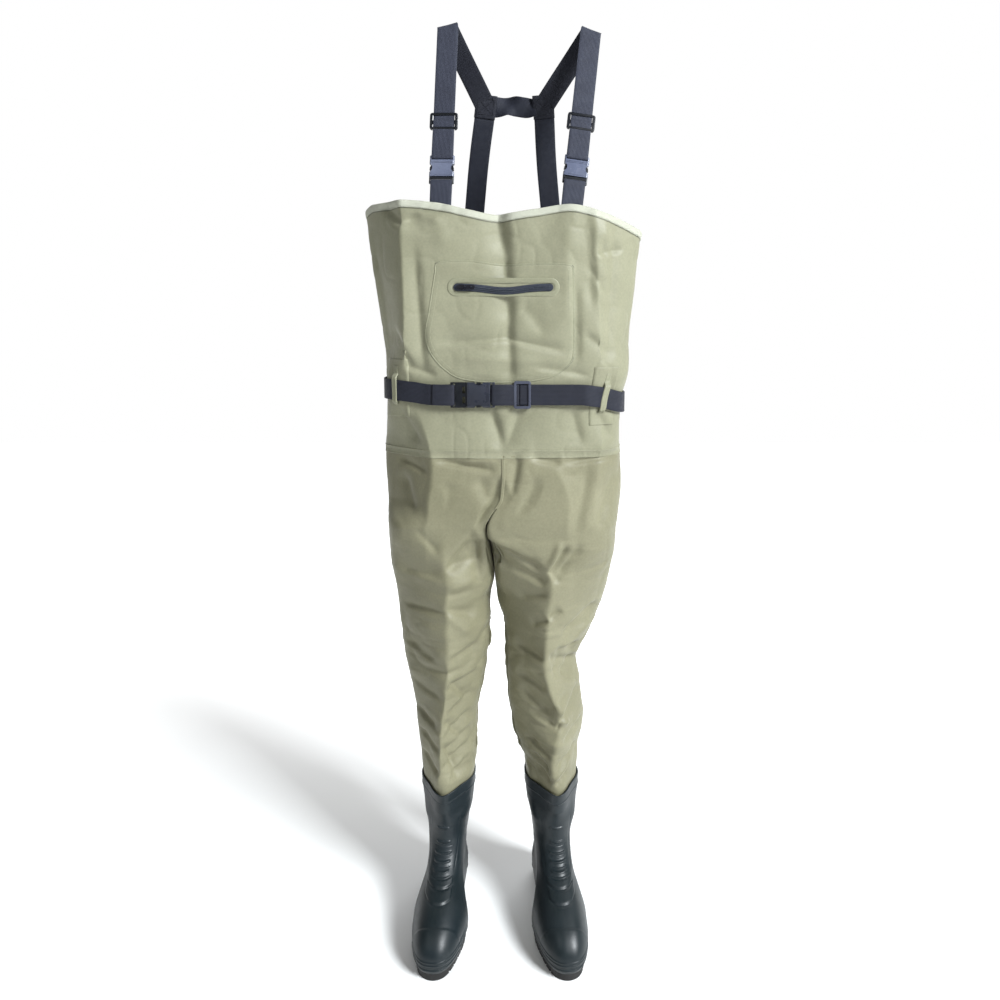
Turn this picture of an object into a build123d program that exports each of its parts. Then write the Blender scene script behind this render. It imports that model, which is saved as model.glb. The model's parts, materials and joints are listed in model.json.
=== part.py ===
"""Chest waders, hung by their shoulder straps from a coat hanger.

Millimetres, +Z up, the front of the garment faces -Y, and left and right are the
wearer's, so left is +X.  Heights in this file are measured from the soles; write()
lowers everything by HANG_HEIGHT, which puts the origin at the hanger.
"""
from build123d import *
from math import asin, atan2, cos, hypot, pi, radians, sin, sqrt, tan
import os

# ---------------------------------------------------------------- driving sizes
HANG_HEIGHT = 1706.0  # soles to the hanger that carries the strap folds
WEB = 38.0  # webbing width, for straps and belt
WEB_T = 1.8  # webbing thickness
CLOTH = 3.0  # coated fabric, drawn thicker than it is so that it collides
GAP = 0.3  # clearance between pieces that move past each other

# Body of the garment: (height, half width, half depth, corner radius)
BODY_STATIONS = [
    (787.0, 213.0, 111.0, 84.0),
    (940.0, 224.0, 100.0, 76.0),
    (1010.0, 223.0, 95.0, 70.0),
    (1378.0, 258.0, 95.0, 76.0),
]
CROTCH, WAIST_SEAM, BIB_TOP, BIB_BACK_TOP = 787.0, 940.0, 1378.0, 1288.0
FRONT_Y = -95.0  # the flat front of the bib

# Legs: (height, centre distance, half width, half depth), hinged at the thigh
LEG_STATIONS = [
    (255.0, 105.0, 57.5, 81.0),
    (380.0, 103.0, 66.0, 85.0),
    (529.0, 100.0, 82.0, 92.0),
    (716.0, 106.0, 98.0, 101.0),
    (800.0, 107.0, 99.0, 97.0),
]
HIP_HEIGHT = 745.0

# Boots
BOOT_X, TOE_OUT = 105.0, 6.5
BOOT_RIM, SOLE_TOP, SOLE_SPLIT = 268.0, 24.0, 9.0
BOOT_WALL = 4.0
# (height, toe end, heel end, half width, how foot-shaped the section is)
BOOT_STATIONS = [
    (24.0, -219.0, 79.0, 49.0, 1.0),
    (52.0, -214.0, 80.0, 49.0, 1.0),
    (74.0, -194.0, 78.0, 46.0, 0.9),
    (92.0, -150.0, 75.0, 42.0, 0.6),
    (118.0, -98.0, 71.0, 37.0, 0.2),
    (155.0, -64.0, 67.0, 36.0, 0.0),
    (205.0, -67.0, 70.0, 44.0, 0.0),
    (268.0, -74.0, 74.0, 51.5, 0.0),
]

# Pocket and zip on the bib
POCKET_X, POCKET_TOP, POCKET_BOTTOM, POCKET_HALF = 5.0, 1290.0, 1084.0, 123.0
ZIP_X, ZIP_HEIGHT, ZIP_LENGTH, ZIP_WIDTH = 6.0, 1242.0, 181.0, 14.0
PATCH_T, TAPE_T, COIL_W, COIL_T = 1.0, 1.2, 3.0, 1.2
ZIP_SLIDER_INSET = 15.0  # slider's centre from the end of the tape

# Belt
BELT_HEIGHT, BELT_GAP = 1051.0, 3.0
BELT_BUCKLE_X = -59.0  # mouth of the receiver
BELT_SLIDER_X = 40.0
BELT_WEB_Y = FRONT_Y - BELT_GAP - WEB_T / 2 - 1.2  # centre plane of the buckle
LOOP_X, LOOP_W = 202.0, 15.0

# Side-release buckles: (width, receiver length, base length)
SHOULDER_BUCKLE = (44.0, 39.0, 13.0)
BELT_BUCKLE = (46.0, 50.0, 30.0)
BUCKLE_T, BAR, SLOT = 9.0, 4.6, 3.8
WRAP_GAP = 5.8  # between two layers of webbing wrapped round a buckle's bar
PRONG_HINGE = 1.6  # prong root radius
SHOULDER_RELEASE, BELT_RELEASE, PRONG_SQUEEZE = 34.0, 45.0, 14.0

# Harness.  Each side: hanger seat centre, hanger slope, where the front strap meets
# the bib, the yoke, and where the elastic meets the back of the bib.
SEAT_R = 6.0
SEAT_LENGTH = 40.0
HARNESS = {
    "right": dict(side=-1, seat=(-94, 0, 1709), slope=14.0, tab=(-105, -88, 1379),
                  yoke=(-27, 37, 1584), back=(-63, 88, 1300)),
    "left": dict(side=1, seat=(164, 0, 1701), slope=20.0, tab=(126, -88, 1379),
                 yoke=(82, 37, 1584), back=(107, 88, 1300)),
}
BUCKLE_ALONG, SLIDER_ALONG = 58.0, 161.0  # along the strap, up from the bib
YOKE_PATCH = (40.0, 5.0, 42.0)
SLIDER = (50.0, 6.4, 31.0)

LOW = (Align.CENTER, Align.CENTER, Align.MIN)
written = []


def write(name, shape):
    """Exports one node, lowered so that the hanger is at the origin."""
    shape = Pos(0, 0, -HANG_HEIGHT) * shape
    shape.label = name
    export_step(shape, f"parts/{name}.step")
    written.append((name, len(shape.solids()), shape.volume))


# ---------------------------------------------------------------- garment shells
def station(table, z):
    """The sizes at height z, straight between the table's heights."""
    rows = sorted(table)
    for low, high in zip(rows, rows[1:]):
        if z <= high[0]:
            share = (z - low[0]) / (high[0] - low[0])
            return [a + (b - a) * share for a, b in zip(low, high)][1:]
    return list(rows[-1][1:])


def heights(table, z0, z1):
    return [z0] + [row[0] for row in sorted(table) if z0 + 1 < row[0] < z1 - 1] + [z1]


def body_loft(z0, z1, offset=0.0):
    """The garment's body between two heights, grown outwards by offset."""
    faces = []
    for z in heights(BODY_STATIONS, z0, z1):
        half_w, half_d, corner = station(BODY_STATIONS, z)
        face = RectangleRounded(2 * (half_w + offset), 2 * (half_d + offset), corner + offset)
        faces.append(Pos(0, 0, z) * face)
    return loft(faces, ruled=True)


def above_edge(raised):
    """Everything above the bib's top edge, which drops from front to back."""
    edge = [(-130, BIB_TOP), (-35, BIB_TOP), (62, BIB_BACK_TOP), (130, BIB_BACK_TOP)]
    lower = [(y, z + raised) for y, z in edge]
    outline = Polyline(*lower, (130, 1500), (-130, 1500), close=True)
    return extrude(Plane.YZ * make_face(outline), 300, both=True)


def halves(shell):
    """A shell cut into its front and its back panel."""
    front = shell & (Pos(0, -200, 0) * Box(900, 400, 1600, align=LOW))
    back = shell & (Pos(0, 200, 0) * Box(900, 400, 1600, align=LOW))
    return front, back


def garment():
    bib = body_loft(WAIST_SEAM, BIB_TOP + 8) - body_loft(WAIST_SEAM - 1, BIB_TOP + 9, -CLOTH)
    bib -= above_edge(0)
    for name, panel in zip(("bib_front_panel", "bib_back_panel"), halves(bib)):
        write(name, panel)
    binding = body_loft(BIB_BACK_TOP - 20, BIB_TOP + 3, 1.2)
    binding -= body_loft(BIB_BACK_TOP - 21, BIB_TOP + 4, -CLOTH - 1.2)
    binding = (binding & above_edge(-11)) - above_edge(1.2) - bib
    write("bib_edge_binding", binding)
    seat = body_loft(CROTCH, WAIST_SEAM) - body_loft(CROTCH - 1, WAIST_SEAM + 1, -CLOTH)
    for name, panel in zip(("seat_front_panel", "seat_back_panel"), halves(seat)):
        write(name, panel)
    tape = body_loft(WAIST_SEAM - 9, WAIST_SEAM + 9, 1.0) - body_loft(WAIST_SEAM - 10, WAIST_SEAM + 10)
    write("waist_seam_tape", tape)
    gusset_y = station(BODY_STATIONS, CROTCH + CLOTH)[1] - CLOTH - 0.2
    write("crotch_gusset", Pos(0, 0, CROTCH) * Box(12, 2 * gusset_y, CLOTH, align=LOW))
    return body_loft(WAIST_SEAM, BIB_TOP)


def leg(side, name):
    """One leg tube, open at both ends, in a front and a back panel."""
    z0, z1 = LEG_STATIONS[0][0], LEG_STATIONS[-1][0]
    skins = []
    for offset in (0.0, -CLOTH):
        faces = []
        for z in heights(LEG_STATIONS, z0, z1):
            centre, half_w, half_d = station(LEG_STATIONS, z)
            # A cut surface has to run past the tube's ends.
            shift = 0 if offset == 0 else (-1 if z == z0 else 1 if z == z1 else 0)
            face = Ellipse(half_w + offset, half_d + offset)
            faces.append(Pos(side * centre, 0, z + shift) * face)
        skins.append(loft(faces, ruled=True))
    tube = skins[0] - skins[1]
    for end, panel in zip(("front", "back"), halves(tube)):
        write(f"{name}_leg_{end}_panel", panel)
    return skins[1]


# ---------------------------------------------------------------- boots
def boot_section(z, toe, heel, half_w, foot, inset=0.0, points=20):
    """One level section of the right boot: round at the ankle, a foot's outline below."""
    middle, half_l = (toe + heel) / 2, (heel - toe) / 2 - inset
    half_w -= inset
    ring = []
    for i in range(points):
        turn = 2 * pi * i / points
        y = middle + half_l * cos(turn)
        along = (y - toe) / (heel - toe)  # 0 at the toe, 1 at the heel
        waist = 1 - 0.38 * foot * max(0.0, 1 - ((along - 0.66) / 0.30) ** 2)
        blunt = abs(sin(turn)) ** (1 - 0.22 * foot)
        x = half_w * blunt * waist * (1 if sin(turn) >= 0 else -1)
        bend = 5.0 * foot * cos(pi * (along - 0.1))  # the toe turns inwards
        ring.append((x + bend, y))
    face = make_face(Spline(*ring, periodic=True))
    return Pos(0, 0, z) * face


def boot(side, name, leg_inside):
    def place(shape):
        """The right boot where it stands; the left one is its mirror image."""
        shape = Rot(0, 0, -TOE_OUT) * shape
        shape = Pos(-BOOT_X, 0, 0) * shape
        return mirror(shape, Plane.YZ) if side > 0 else shape

    outer = loft([boot_section(*row) for row in BOOT_STATIONS], ruled=True)
    inside = [(z - (1 if z == SOLE_TOP else 0) + (1 if z == BOOT_RIM else 0), *row)
              for z, *row in BOOT_STATIONS]
    inner = loft([boot_section(*row, inset=BOOT_WALL) for row in inside], ruled=True)
    write(f"{name}_boot_upper", place(outer - inner))
    weld_low = LEG_STATIONS[0][0] + 1
    weld = Pos(side * BOOT_X, 0, weld_low) * Box(150, 220, BOOT_RIM - weld_low - 0.5, align=LOW)
    write(f"{name}_boot_weld", (weld & leg_inside) - place(outer))

    sole_row = (-222.0, 82.0, 51.5, 1.0)
    sole = extrude(boot_section(SOLE_SPLIT, *sole_row), SOLE_TOP - SOLE_SPLIT)
    tread = extrude(boot_section(0, *sole_row, inset=1.5), SOLE_SPLIT)
    tread -= Pos(0, -22, -1) * Box(140, 62, SOLE_SPLIT + 1, align=LOW)  # the arch
    for i in range(9):
        tread -= Pos(0, -70 - 16 * i, -1) * Box(140, 4, 6, align=LOW)
    write(f"{name}_boot_outsole", place(sole + tread))

    insole_row = (SOLE_TOP, -214.0, 74.0, 44.0, 1.0)
    write(f"{name}_boot_insole", place(extrude(boot_section(*insole_row, inset=1.5), 4)))


# ---------------------------------------------------------------- pocket and zip
def pocket_and_zip():
    top, low = POCKET_TOP, POCKET_BOTTOM
    half = POCKET_HALF
    outline = Polyline((-half, top), (half, top), (half + 7, low + 62), (half - 48, low),
                       (48 - half, low), (-half - 7, low + 62), close=True)
    face = make_face(outline)
    face = fillet(face.vertices().sort_by(Axis.Y)[:4], 26)
    # XZ's normal is -Y, so a positive extrusion stands off the front of the bib.
    plane = Plane(origin=(POCKET_X, FRONT_Y, 0), x_dir=(1, 0, 0), z_dir=(0, -1, 0))
    slit = Pos(ZIP_X - POCKET_X, ZIP_HEIGHT) * Rectangle(ZIP_LENGTH - 24, 1.0)
    write("chest_pocket_panel", extrude(plane * (face - slit), PATCH_T))

    tape_y = FRONT_Y - PATCH_T
    zip_plane = Plane(origin=(ZIP_X, tape_y, ZIP_HEIGHT), x_dir=(1, 0, 0), z_dir=(0, -1, 0))
    tape = extrude(zip_plane * SlotOverall(ZIP_LENGTH, ZIP_WIDTH), TAPE_T)
    write("zip_tape", tape)
    coil_plane = zip_plane.offset(TAPE_T)
    coil = extrude(coil_plane * SlotOverall(ZIP_LENGTH - 14, COIL_W), COIL_T)
    pitch = 4.0
    for i in range(int((ZIP_LENGTH - 22) / pitch)):
        x = -(ZIP_LENGTH - 22) / 2 + pitch * i
        coil -= coil_plane * Pos(x, 0, COIL_T) * Box(0.8, COIL_W + 1, 0.8)
    write("zip_coil", coil)

    x0 = zip_slider_x()
    ride_y = tape_y - TAPE_T - GAP  # underside of the slider
    body = Pos(x0, ride_y - 1.9, ZIP_HEIGHT) * Box(13, 3.8, 9)
    body = fillet(body.edges().filter_by(Axis.Y), 2.2)
    body -= Pos(x0, ride_y - 0.8, ZIP_HEIGHT) * Box(20, 1.7, COIL_W + 2 * GAP)
    bridge = Pos(x0 + 1, ride_y - 4.6, ZIP_HEIGHT) * Box(7, 2.2, 3.4)
    body += bridge - Pos(*zip_pull_pivot()) * Cylinder(0.8, 10)
    write("zip_slider", body)

    px, py, pz = zip_pull_pivot()
    tab = Pos(px + 12, py, pz) * Box(24, 1.3, 8)
    tab = fillet(tab.edges().filter_by(Axis.Y), 2.5)
    tab -= Pos(px + 2.5, py, pz) * Box(11.4, 4, 4.6)  # the eye goes round the bridge
    tab -= Pos(px + 18, py, pz) * Box(3.0, 4, 3.4)  # slot for a cord
    pin = Pos(px, py, pz) * Cylinder(0.7, 5.0)
    write("zip_pull", tab + pin)


def zip_slider_x():
    return ZIP_X - ZIP_LENGTH / 2 + ZIP_SLIDER_INSET


def zip_pull_pivot():
    """Centre of the pull's pin, in the slider's bridge."""
    y = FRONT_Y - PATCH_T - TAPE_T - GAP - 4.7
    return (zip_slider_x() + 1, y, ZIP_HEIGHT)


# ---------------------------------------------------------------- buckles
def receiver(width, length):
    """Female half.  Its mouth is at z = 0 and its webbing bar at the far end."""
    body_len = length - SLOT - BAR
    body = Box(width, BUCKLE_T, body_len, align=LOW)
    body = fillet(body.edges().filter_by(Axis.Z), 3.0)
    body = fillet(body.edges().group_by(Axis.Z)[-1], 1.2)
    frame = Pos(0, 0, body_len - 3) * Box(width, 5.2, SLOT + BAR + 3, align=LOW)
    frame = fillet(frame.edges().filter_by(Axis.Z), 2.0)
    frame = fillet(frame.edges().group_by(Axis.Z)[-1], 1.4)
    body += frame
    body -= Pos(0, 0, body_len) * Box(width - 5.0, 12, SLOT, align=LOW)
    body -= Pos(0, 0, -1) * Box(width - 7.0, 6.0, body_len - 2.5, align=LOW)
    middle = body_len * 0.5
    for side in (-1, 1):
        body -= Pos(side * width / 2, 0, middle) * Box(8, 6.0, body_len * 0.42)
        thumb = Rot(90, 0, 0) * Cylinder(8.5, 20)
        body -= Pos(side * (width / 2 + 3.2), 0, middle) * thumb
    ridge = Pos(0, -BUCKLE_T / 2, 3.0) * Box(width - 9, 0.8, 1.4)
    body += ridge
    for level in (body_len - 4.0, body_len - 6.4):
        body -= Pos(0, -BUCKLE_T / 2, level) * Box(width - 7, 1.0, 1.0)
    return body


def insert_base(width, base, prong_length):
    """Male half without its prongs: webbing bar, shoulder and middle tongue."""
    plate = Pos(0, 0, -base) * Box(width, 5.2, base - 0.5, align=LOW)
    plate = fillet(plate.edges().filter_by(Axis.Z), 2.0)
    plate = fillet(plate.edges().group_by(Axis.Z)[0], 1.4)
    plate -= Pos(0, 0, -base + BAR) * Box(width - 5.0, 12, SLOT, align=LOW)
    if base > 20:  # a long shoulder has a window in front of the prongs
        plate -= Pos(0, 0, -8.5) * Box(width - 16.0, 12, 5.5, align=LOW)
        plate += Pos(0, 0, -9) * Box(6.0, 4.0, 7.0, align=LOW)
    tongue = Pos(0, 0, -1) * Box(6.0, 4.0, prong_length, align=LOW)
    tongue = fillet(tongue.edges().group_by(Axis.Z)[-1], 1.2)
    return plate + tongue


def prong(side, width, prong_length):
    """One spring prong of the male half, with its button, built about its root."""
    x, top = prong_root(side, width)[0], prong_length
    reach = width / 2 - 0.4  # the button's outer face
    mid = (prong_length + 8.0) * 0.5  # level with the windows in the receiver
    outline = Polyline(
        (abs(x) - 1.6, 1.4), (abs(x) + 1.6, 1.4), (width / 2 - 4.6, mid - 5.0),
        (reach, mid - 3.6), (reach - 0.6, mid + 2.0), (width / 2 - 5.0, top - 1.0),
        (abs(x) + 1.0, top), (abs(x) - 0.6, top - 3.0), close=True)
    plane = Plane(origin=(0, 0, 0), x_dir=(side, 0, 0), z_dir=(0, -side, 0))
    arm = extrude(plane * make_face(outline), 2.6, both=True)
    root = Pos(x, 0, 1.4) * Rot(90, 0, 0) * Cylinder(PRONG_HINGE, 5.2)
    return arm + root


def prong_root(side, width):
    """The prong's hinge point in the buckle's own frame."""
    return (side * (width / 2 - 9.5), 0.0, 1.4)


def prong_length(length):
    return length - SLOT - BAR - 8.0


def slider_frame():
    """Webbing slider: two bars in front of the webbing and one behind it."""
    width, thick, height = SLIDER
    ring = Box(width, thick, height)
    ring = fillet(ring.edges().filter_by(Axis.Y), 4.5)
    ring -= Box(WEB + 2.0, thick + 2, height - 9.6)
    ring = fillet(ring.edges().filter_by(Axis.X), 1.2)
    clear = WEB_T + 1.2
    ring -= Box(WEB + 2.0, clear, height + 2)  # the webbing's way through
    ring -= Pos(0, thick, 0) * Box(WEB + 2.0, 2 * thick - clear, height + 2)
    back_bar = Pos(0, clear / 2 + 0.9, 0) * Box(WEB + 3.0, 1.8, 7.0)
    return ring + back_bar


# ---------------------------------------------------------------- belt
def belt_ring(z0, z1, inner, outer):
    """A band round the waist, between two distances from the garment."""
    half_w, half_d, corner = station(BODY_STATIONS, BELT_HEIGHT)
    rings = [RectangleRounded(2 * (half_w + off), 2 * (half_d + off), corner + off)
             for off in (outer, inner)]
    return Pos(0, 0, z0) * extrude(rings[0] - rings[1], z1 - z0)


def belt_frame():
    """The belt buckle's frame: z along the belt towards the wearer's left, x down."""
    return Plane(origin=(BELT_BUCKLE_X, BELT_WEB_Y, BELT_HEIGHT), x_dir=(0, 0, -1), z_dir=(1, 0, 0))


def belt(body):
    width, length, base = BELT_BUCKLE
    band = belt_ring(BELT_HEIGHT - WEB / 2, BELT_HEIGHT + WEB / 2, BELT_GAP, BELT_GAP + WEB_T)
    start, end = BELT_BUCKLE_X - base, BELT_BUCKLE_X + length
    split = start - 95.0  # beyond here the belt lies still when the buckle opens
    doubled = BELT_SLIDER_X - SLIDER[2] / 2 - 1.0
    place = belt_frame().location
    wrap = place * webbing_loop(-base - 14.0, -base + BAR + WEB_T + 0.3, True)
    front = Pos(0, -100, BELT_HEIGHT)
    reach = start - 13.0
    free_end = band & front * Pos((split + reach) / 2, 0, 0) * Box(reach - split, 40, 60)
    joint = Pos(reach - 1.5, BELT_WEB_Y, BELT_HEIGHT) * Box(3, WRAP_GAP + 2 * WEB_T, WEB)
    write("belt_insert_webbing", wrap + free_end + joint)
    write("belt_webbing", band - front * Pos((split + doubled) / 2, 0, 0) * Box(doubled - split, 40, 60))
    fold = place * webbing_loop(length - BAR - WEB_T - 0.3, doubled - BELT_BUCKLE_X, False)
    write("belt_adjuster_webbing", fold)
    write("belt_buckle_receiver", place * receiver(width, length))
    write("belt_buckle_insert", place * insert_base(width, base, prong_length(length)))
    for side, where in ((-1, "upper"), (1, "lower")):
        write(f"belt_buckle_{where}_prong", place * prong(side, width, prong_length(length)))
    slide_y = FRONT_Y - BELT_GAP - WEB_T / 2
    slide_at = Plane(origin=(BELT_SLIDER_X, slide_y, BELT_HEIGHT), x_dir=(0, 0, -1), z_dir=(1, 0, 0))
    write("belt_slider", slide_at.location * slider_frame())

    for side, name in ((-1, "right"), (1, "left")):
        column = Pos(side * LOOP_X, -100, 0) * Box(LOOP_W, 200, 2000, align=LOW)
        high, low = BELT_HEIGHT + 34, BELT_HEIGHT - 30
        strip = belt_ring(low, high, 0.0, BELT_GAP + WEB_T + 2.0) & column
        way = belt_ring(BELT_HEIGHT - WEB / 2 - 3, BELT_HEIGHT + WEB / 2 + 3, -1, BELT_GAP + WEB_T + 0.5)
        patch_zone = Pos(side * (LOOP_X - 4), -100, 0) * Box(48, 200, 2000, align=LOW)
        patch = body_loft(BELT_HEIGHT - 46, BELT_HEIGHT + 56, 1.0) & patch_zone
        patch -= body_loft(BELT_HEIGHT - 47, BELT_HEIGHT + 57)
        write(f"{name}_belt_loop_patch", patch)
        grown = body_loft(low - 5, high + 5, 1.0)
        write(f"{name}_belt_loop", strip - way - grown)


# ---------------------------------------------------------------- harness
def seat_axis(spec):
    """Unit vector along the hanger's arm, from the seat inwards and up."""
    tilt = radians(spec["slope"])
    return Vector(-spec["side"] * cos(tilt), 0, sin(tilt))


def tangent(spec, point, facing):
    """Where a flat strap from point first touches the seat, on the facing side in Y."""
    along = seat_axis(spec)
    rise = Vector(spec["side"] * along.Z, 0, abs(along.X))
    offset = Vector(*point) - Vector(*spec["seat"])
    y, up = offset.Y * facing, offset.dot(rise)
    radius = SEAT_R + WEB_T / 2
    lean = atan2(y, -up) - asin(radius / hypot(y, up))
    return Vector(*spec["seat"]) + Vector(0, facing, 0) * (radius * cos(lean)) + rise * (radius * sin(lean))


def strap_plane(spec, point, facing):
    """Plane of a strap between point and the seat: z up the strap, x across, y back."""
    top = tangent(spec, point, facing)
    low = Vector(*point)
    up = (top - low).normalized()
    normal = seat_axis(spec).cross(up).normalized()
    if normal.Y < 0:
        normal = -normal
    across = normal.cross(up)
    return Plane(origin=low, x_dir=across, z_dir=up), (top - low).length


def front_plane(spec):
    return strap_plane(spec, spec["tab"], -1)


def band(width, thick, z0, z1):
    return Pos(0, 0, z0) * Box(width, thick, z1 - z0, align=LOW)


def webbing_loop(z0, z1, closed_at_top):
    """Webbing doubled round a bar: two layers, joined at one end."""
    loop = band(WEB, WRAP_GAP + 2 * WEB_T, z0, z1)
    if closed_at_top:
        loop -= band(WEB + 2, WRAP_GAP, z0 - 1, z1 - WEB_T)
    else:
        loop -= band(WEB + 2, WRAP_GAP, z0 + WEB_T, z1 + 1)
    return loop


def harness(name, spec):
    plane, length = front_plane(spec)
    place = plane.location
    seat = Vector(*spec["seat"])
    along = seat_axis(spec)

    # The shoulder strap: up the front, over the hanger and down to the yoke.
    rear, rear_length = strap_plane(spec, spec["yoke"], 1)
    fold_plane = Plane(origin=seat, x_dir=(0, 1, 0), z_dir=along)
    fold = fold_plane.location * (Cylinder(SEAT_R + WEB_T, SEAT_LENGTH) - Cylinder(SEAT_R, SEAT_LENGTH))
    rise = Vector(spec["side"] * along.Z, 0, abs(along.X))
    upper = Plane(origin=seat, x_dir=(0, 1, 0), z_dir=rise)
    fold &= upper.location * Box(60, 80, 60, align=LOW)
    loop_top = SLIDER_ALONG - SLIDER[2] / 2 - 1.0
    strap = place * band(WEB, WEB_T, loop_top, length + 1.0)
    strap += fold
    yoke_half = YOKE_PATCH[2] / 2
    strap += rear.location * band(WEB, WEB_T, yoke_half, rear_length + 1.0)
    strap -= fold_plane.location * Cylinder(SEAT_R, SEAT_LENGTH + 20)
    yoke, back = Vector(*spec["yoke"]), Vector(*spec["back"])
    elastic_up = (yoke - back).normalized()
    across = Vector(1, 0, 0) - elastic_up * elastic_up.X
    patch = Plane(origin=yoke, x_dir=across, z_dir=elastic_up).location * Box(*YOKE_PATCH)
    write(f"{name}_yoke_patch", patch)
    write(f"{name}_shoulder_strap", strap - patch)

    width, receiver_length, base = SHOULDER_BUCKLE
    buckle = place * Pos(0, 0, BUCKLE_ALONG)
    bar_top = BUCKLE_ALONG + receiver_length - BAR
    bar_low = BUCKLE_ALONG - base + BAR
    write(f"{name}_adjuster_webbing", place * webbing_loop(bar_top - WEB_T - 0.3, loop_top, False))
    tab = place * webbing_loop(3.0, bar_low + WEB_T + 0.3, True)
    tab_x, tab_y, tab_z = spec["tab"]
    sewn = Pos(tab_x, FRONT_Y + CLOTH + 1.4 + WEB_T, tab_z - 44) * Box(WEB, 2 * WEB_T, 50, align=LOW)
    write(f"{name}_bib_tab", tab + sewn)
    write(f"{name}_buckle_receiver", buckle * receiver(width, receiver_length))
    write(f"{name}_buckle_insert", buckle * insert_base(width, base, prong_length(receiver_length)))
    for side, where in ((-1, "outer" if spec["side"] < 0 else "inner"),
                        (1, "inner" if spec["side"] < 0 else "outer")):
        shape = prong(side, width, prong_length(receiver_length))
        write(f"{name}_buckle_{where}_prong", buckle * shape)
    write(f"{name}_strap_slider", place * Pos(0, 0, SLIDER_ALONG) * slider_frame())

    # The elastic runs from the patch down to the back of the bib.
    elastic = Plane(origin=back, x_dir=across, z_dir=elastic_up)
    elastic_length = (yoke - back).length
    back_x, _, back_z = spec["back"]
    sewn = Pos(back_x, -FRONT_Y - CLOTH - 2.2, back_z - 52) * Box(WEB, WEB_T, 50, align=LOW)
    write(f"{name}_back_tab", sewn)
    strip = elastic.location * band(WEB, 1.4, 0, elastic_length - yoke_half)
    write(f"{name}_back_elastic", strip - patch - sewn)


def cross_strap():
    """The short strap across the back that joins the two yoke patches."""
    right, left = HARNESS["right"]["yoke"], HARNESS["left"]["yoke"]
    x0, x1 = right[0] + 24, left[0] - 24
    write("yoke_cross_strap", Pos((x0 + x1) / 2, right[1], right[2]) * Box(x1 - x0, WEB_T, WEB))


def main():
    os.makedirs("parts", exist_ok=True)
    body = garment()
    for side, name in ((-1, "right"), (1, "left")):
        boot(side, name, leg(side, name))
    pocket_and_zip()
    belt(body)
    for name, spec in HARNESS.items():
        harness(name, spec)
    cross_strap()
    for name, solids, volume in written:
        print(f"{name:32s} {solids:3d} solid(s) {volume:12.0f} mm3")


if __name__ == "__main__":
    main()
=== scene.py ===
"""Looks of the chest waders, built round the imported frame.

Lengths in this file are millimetres with heights from the soles, as in the CAD; mesh()
turns them into metres with the origin at the hanger.  The front faces -Y.
"""

import bmesh
import bpy
import numpy as np
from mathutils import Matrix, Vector
from mathutils.bvhtree import BVHTree
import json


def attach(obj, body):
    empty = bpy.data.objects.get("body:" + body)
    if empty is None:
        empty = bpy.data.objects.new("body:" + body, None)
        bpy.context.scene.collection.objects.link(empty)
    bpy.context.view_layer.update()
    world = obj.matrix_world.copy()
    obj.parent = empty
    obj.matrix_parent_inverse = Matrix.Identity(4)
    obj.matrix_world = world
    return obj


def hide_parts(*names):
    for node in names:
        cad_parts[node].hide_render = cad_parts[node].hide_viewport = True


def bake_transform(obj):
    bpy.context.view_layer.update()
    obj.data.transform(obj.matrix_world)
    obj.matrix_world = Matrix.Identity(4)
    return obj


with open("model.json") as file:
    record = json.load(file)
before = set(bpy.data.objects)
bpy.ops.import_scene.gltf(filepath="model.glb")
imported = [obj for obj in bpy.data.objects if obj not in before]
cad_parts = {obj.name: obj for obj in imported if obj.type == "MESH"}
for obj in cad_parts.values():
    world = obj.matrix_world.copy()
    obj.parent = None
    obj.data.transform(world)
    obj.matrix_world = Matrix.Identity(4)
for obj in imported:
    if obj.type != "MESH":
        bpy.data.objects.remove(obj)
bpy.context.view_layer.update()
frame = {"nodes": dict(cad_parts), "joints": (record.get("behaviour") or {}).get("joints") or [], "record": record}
HANG = 1706.0  # height of the hanger, where the origin is
SEAM = 942.0  # waist seam
BELT_Z = 1051
BELT_FACE = -98.9  # the middle of the belt in front
ZIP_Z = 1242
CROTCH_FRONT, CROTCH_BACK = 842, 864  # lower ends of the seat's seam
BOOT_X = 105  # middle of each boot
TOE_OUT = np.radians(6.5)
HEM = 252.0  # the legs' lower ends, inside the boots
CLOTH_THICKNESS = 1.4
WEB = 37.5  # width of the belt's webbing
SIDES = {-1: "right", 1: "left"}


# ------------------------------------------------------------------ small maths
def smooth(x, lo, hi):
    t = np.clip((np.asarray(x, float) - lo) / (hi - lo), 0.0, 1.0)
    return t * t * (3 - 2 * t)


def between(x, start, full, fade, end):
    """Rises from 0 at start to 1 at full, and falls again from fade to end."""
    return smooth(x, start, full) * (1 - smooth(x, fade, end))


def hump(x, at, width, power=2):
    return np.exp(-((x - at) / width) ** power)


def unit(v):
    """Vectors of length 1 along v, which may be a whole array of them."""
    v = np.asarray(v, float)
    return v / np.maximum(np.linalg.norm(v, axis=-1, keepdims=True), 1e-9)


def stack(*parts):
    return np.stack(np.broadcast_arrays(*parts), -1)


def curve(x, knots):
    """A smooth curve through (x, value) knots, flat beyond its ends."""
    xs = np.array([k[0] for k in knots], float)
    ys = np.array([k[1] for k in knots], float)
    order = np.argsort(xs)
    xs, ys = xs[order], ys[order]
    slope = np.gradient(ys, xs)
    x = np.clip(np.asarray(x, float), xs[0], xs[-1])
    i = np.clip(np.searchsorted(xs, x) - 1, 0, len(xs) - 2)
    h = xs[i + 1] - xs[i]
    t = (x - xs[i]) / h
    return ((2 * t**3 - 3 * t**2 + 1) * ys[i] + (t**3 - 2 * t**2 + t) * h * slope[i]
            + (3 * t**2 - 2 * t**3) * ys[i + 1] + (t**3 - t**2) * h * slope[i + 1])


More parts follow.
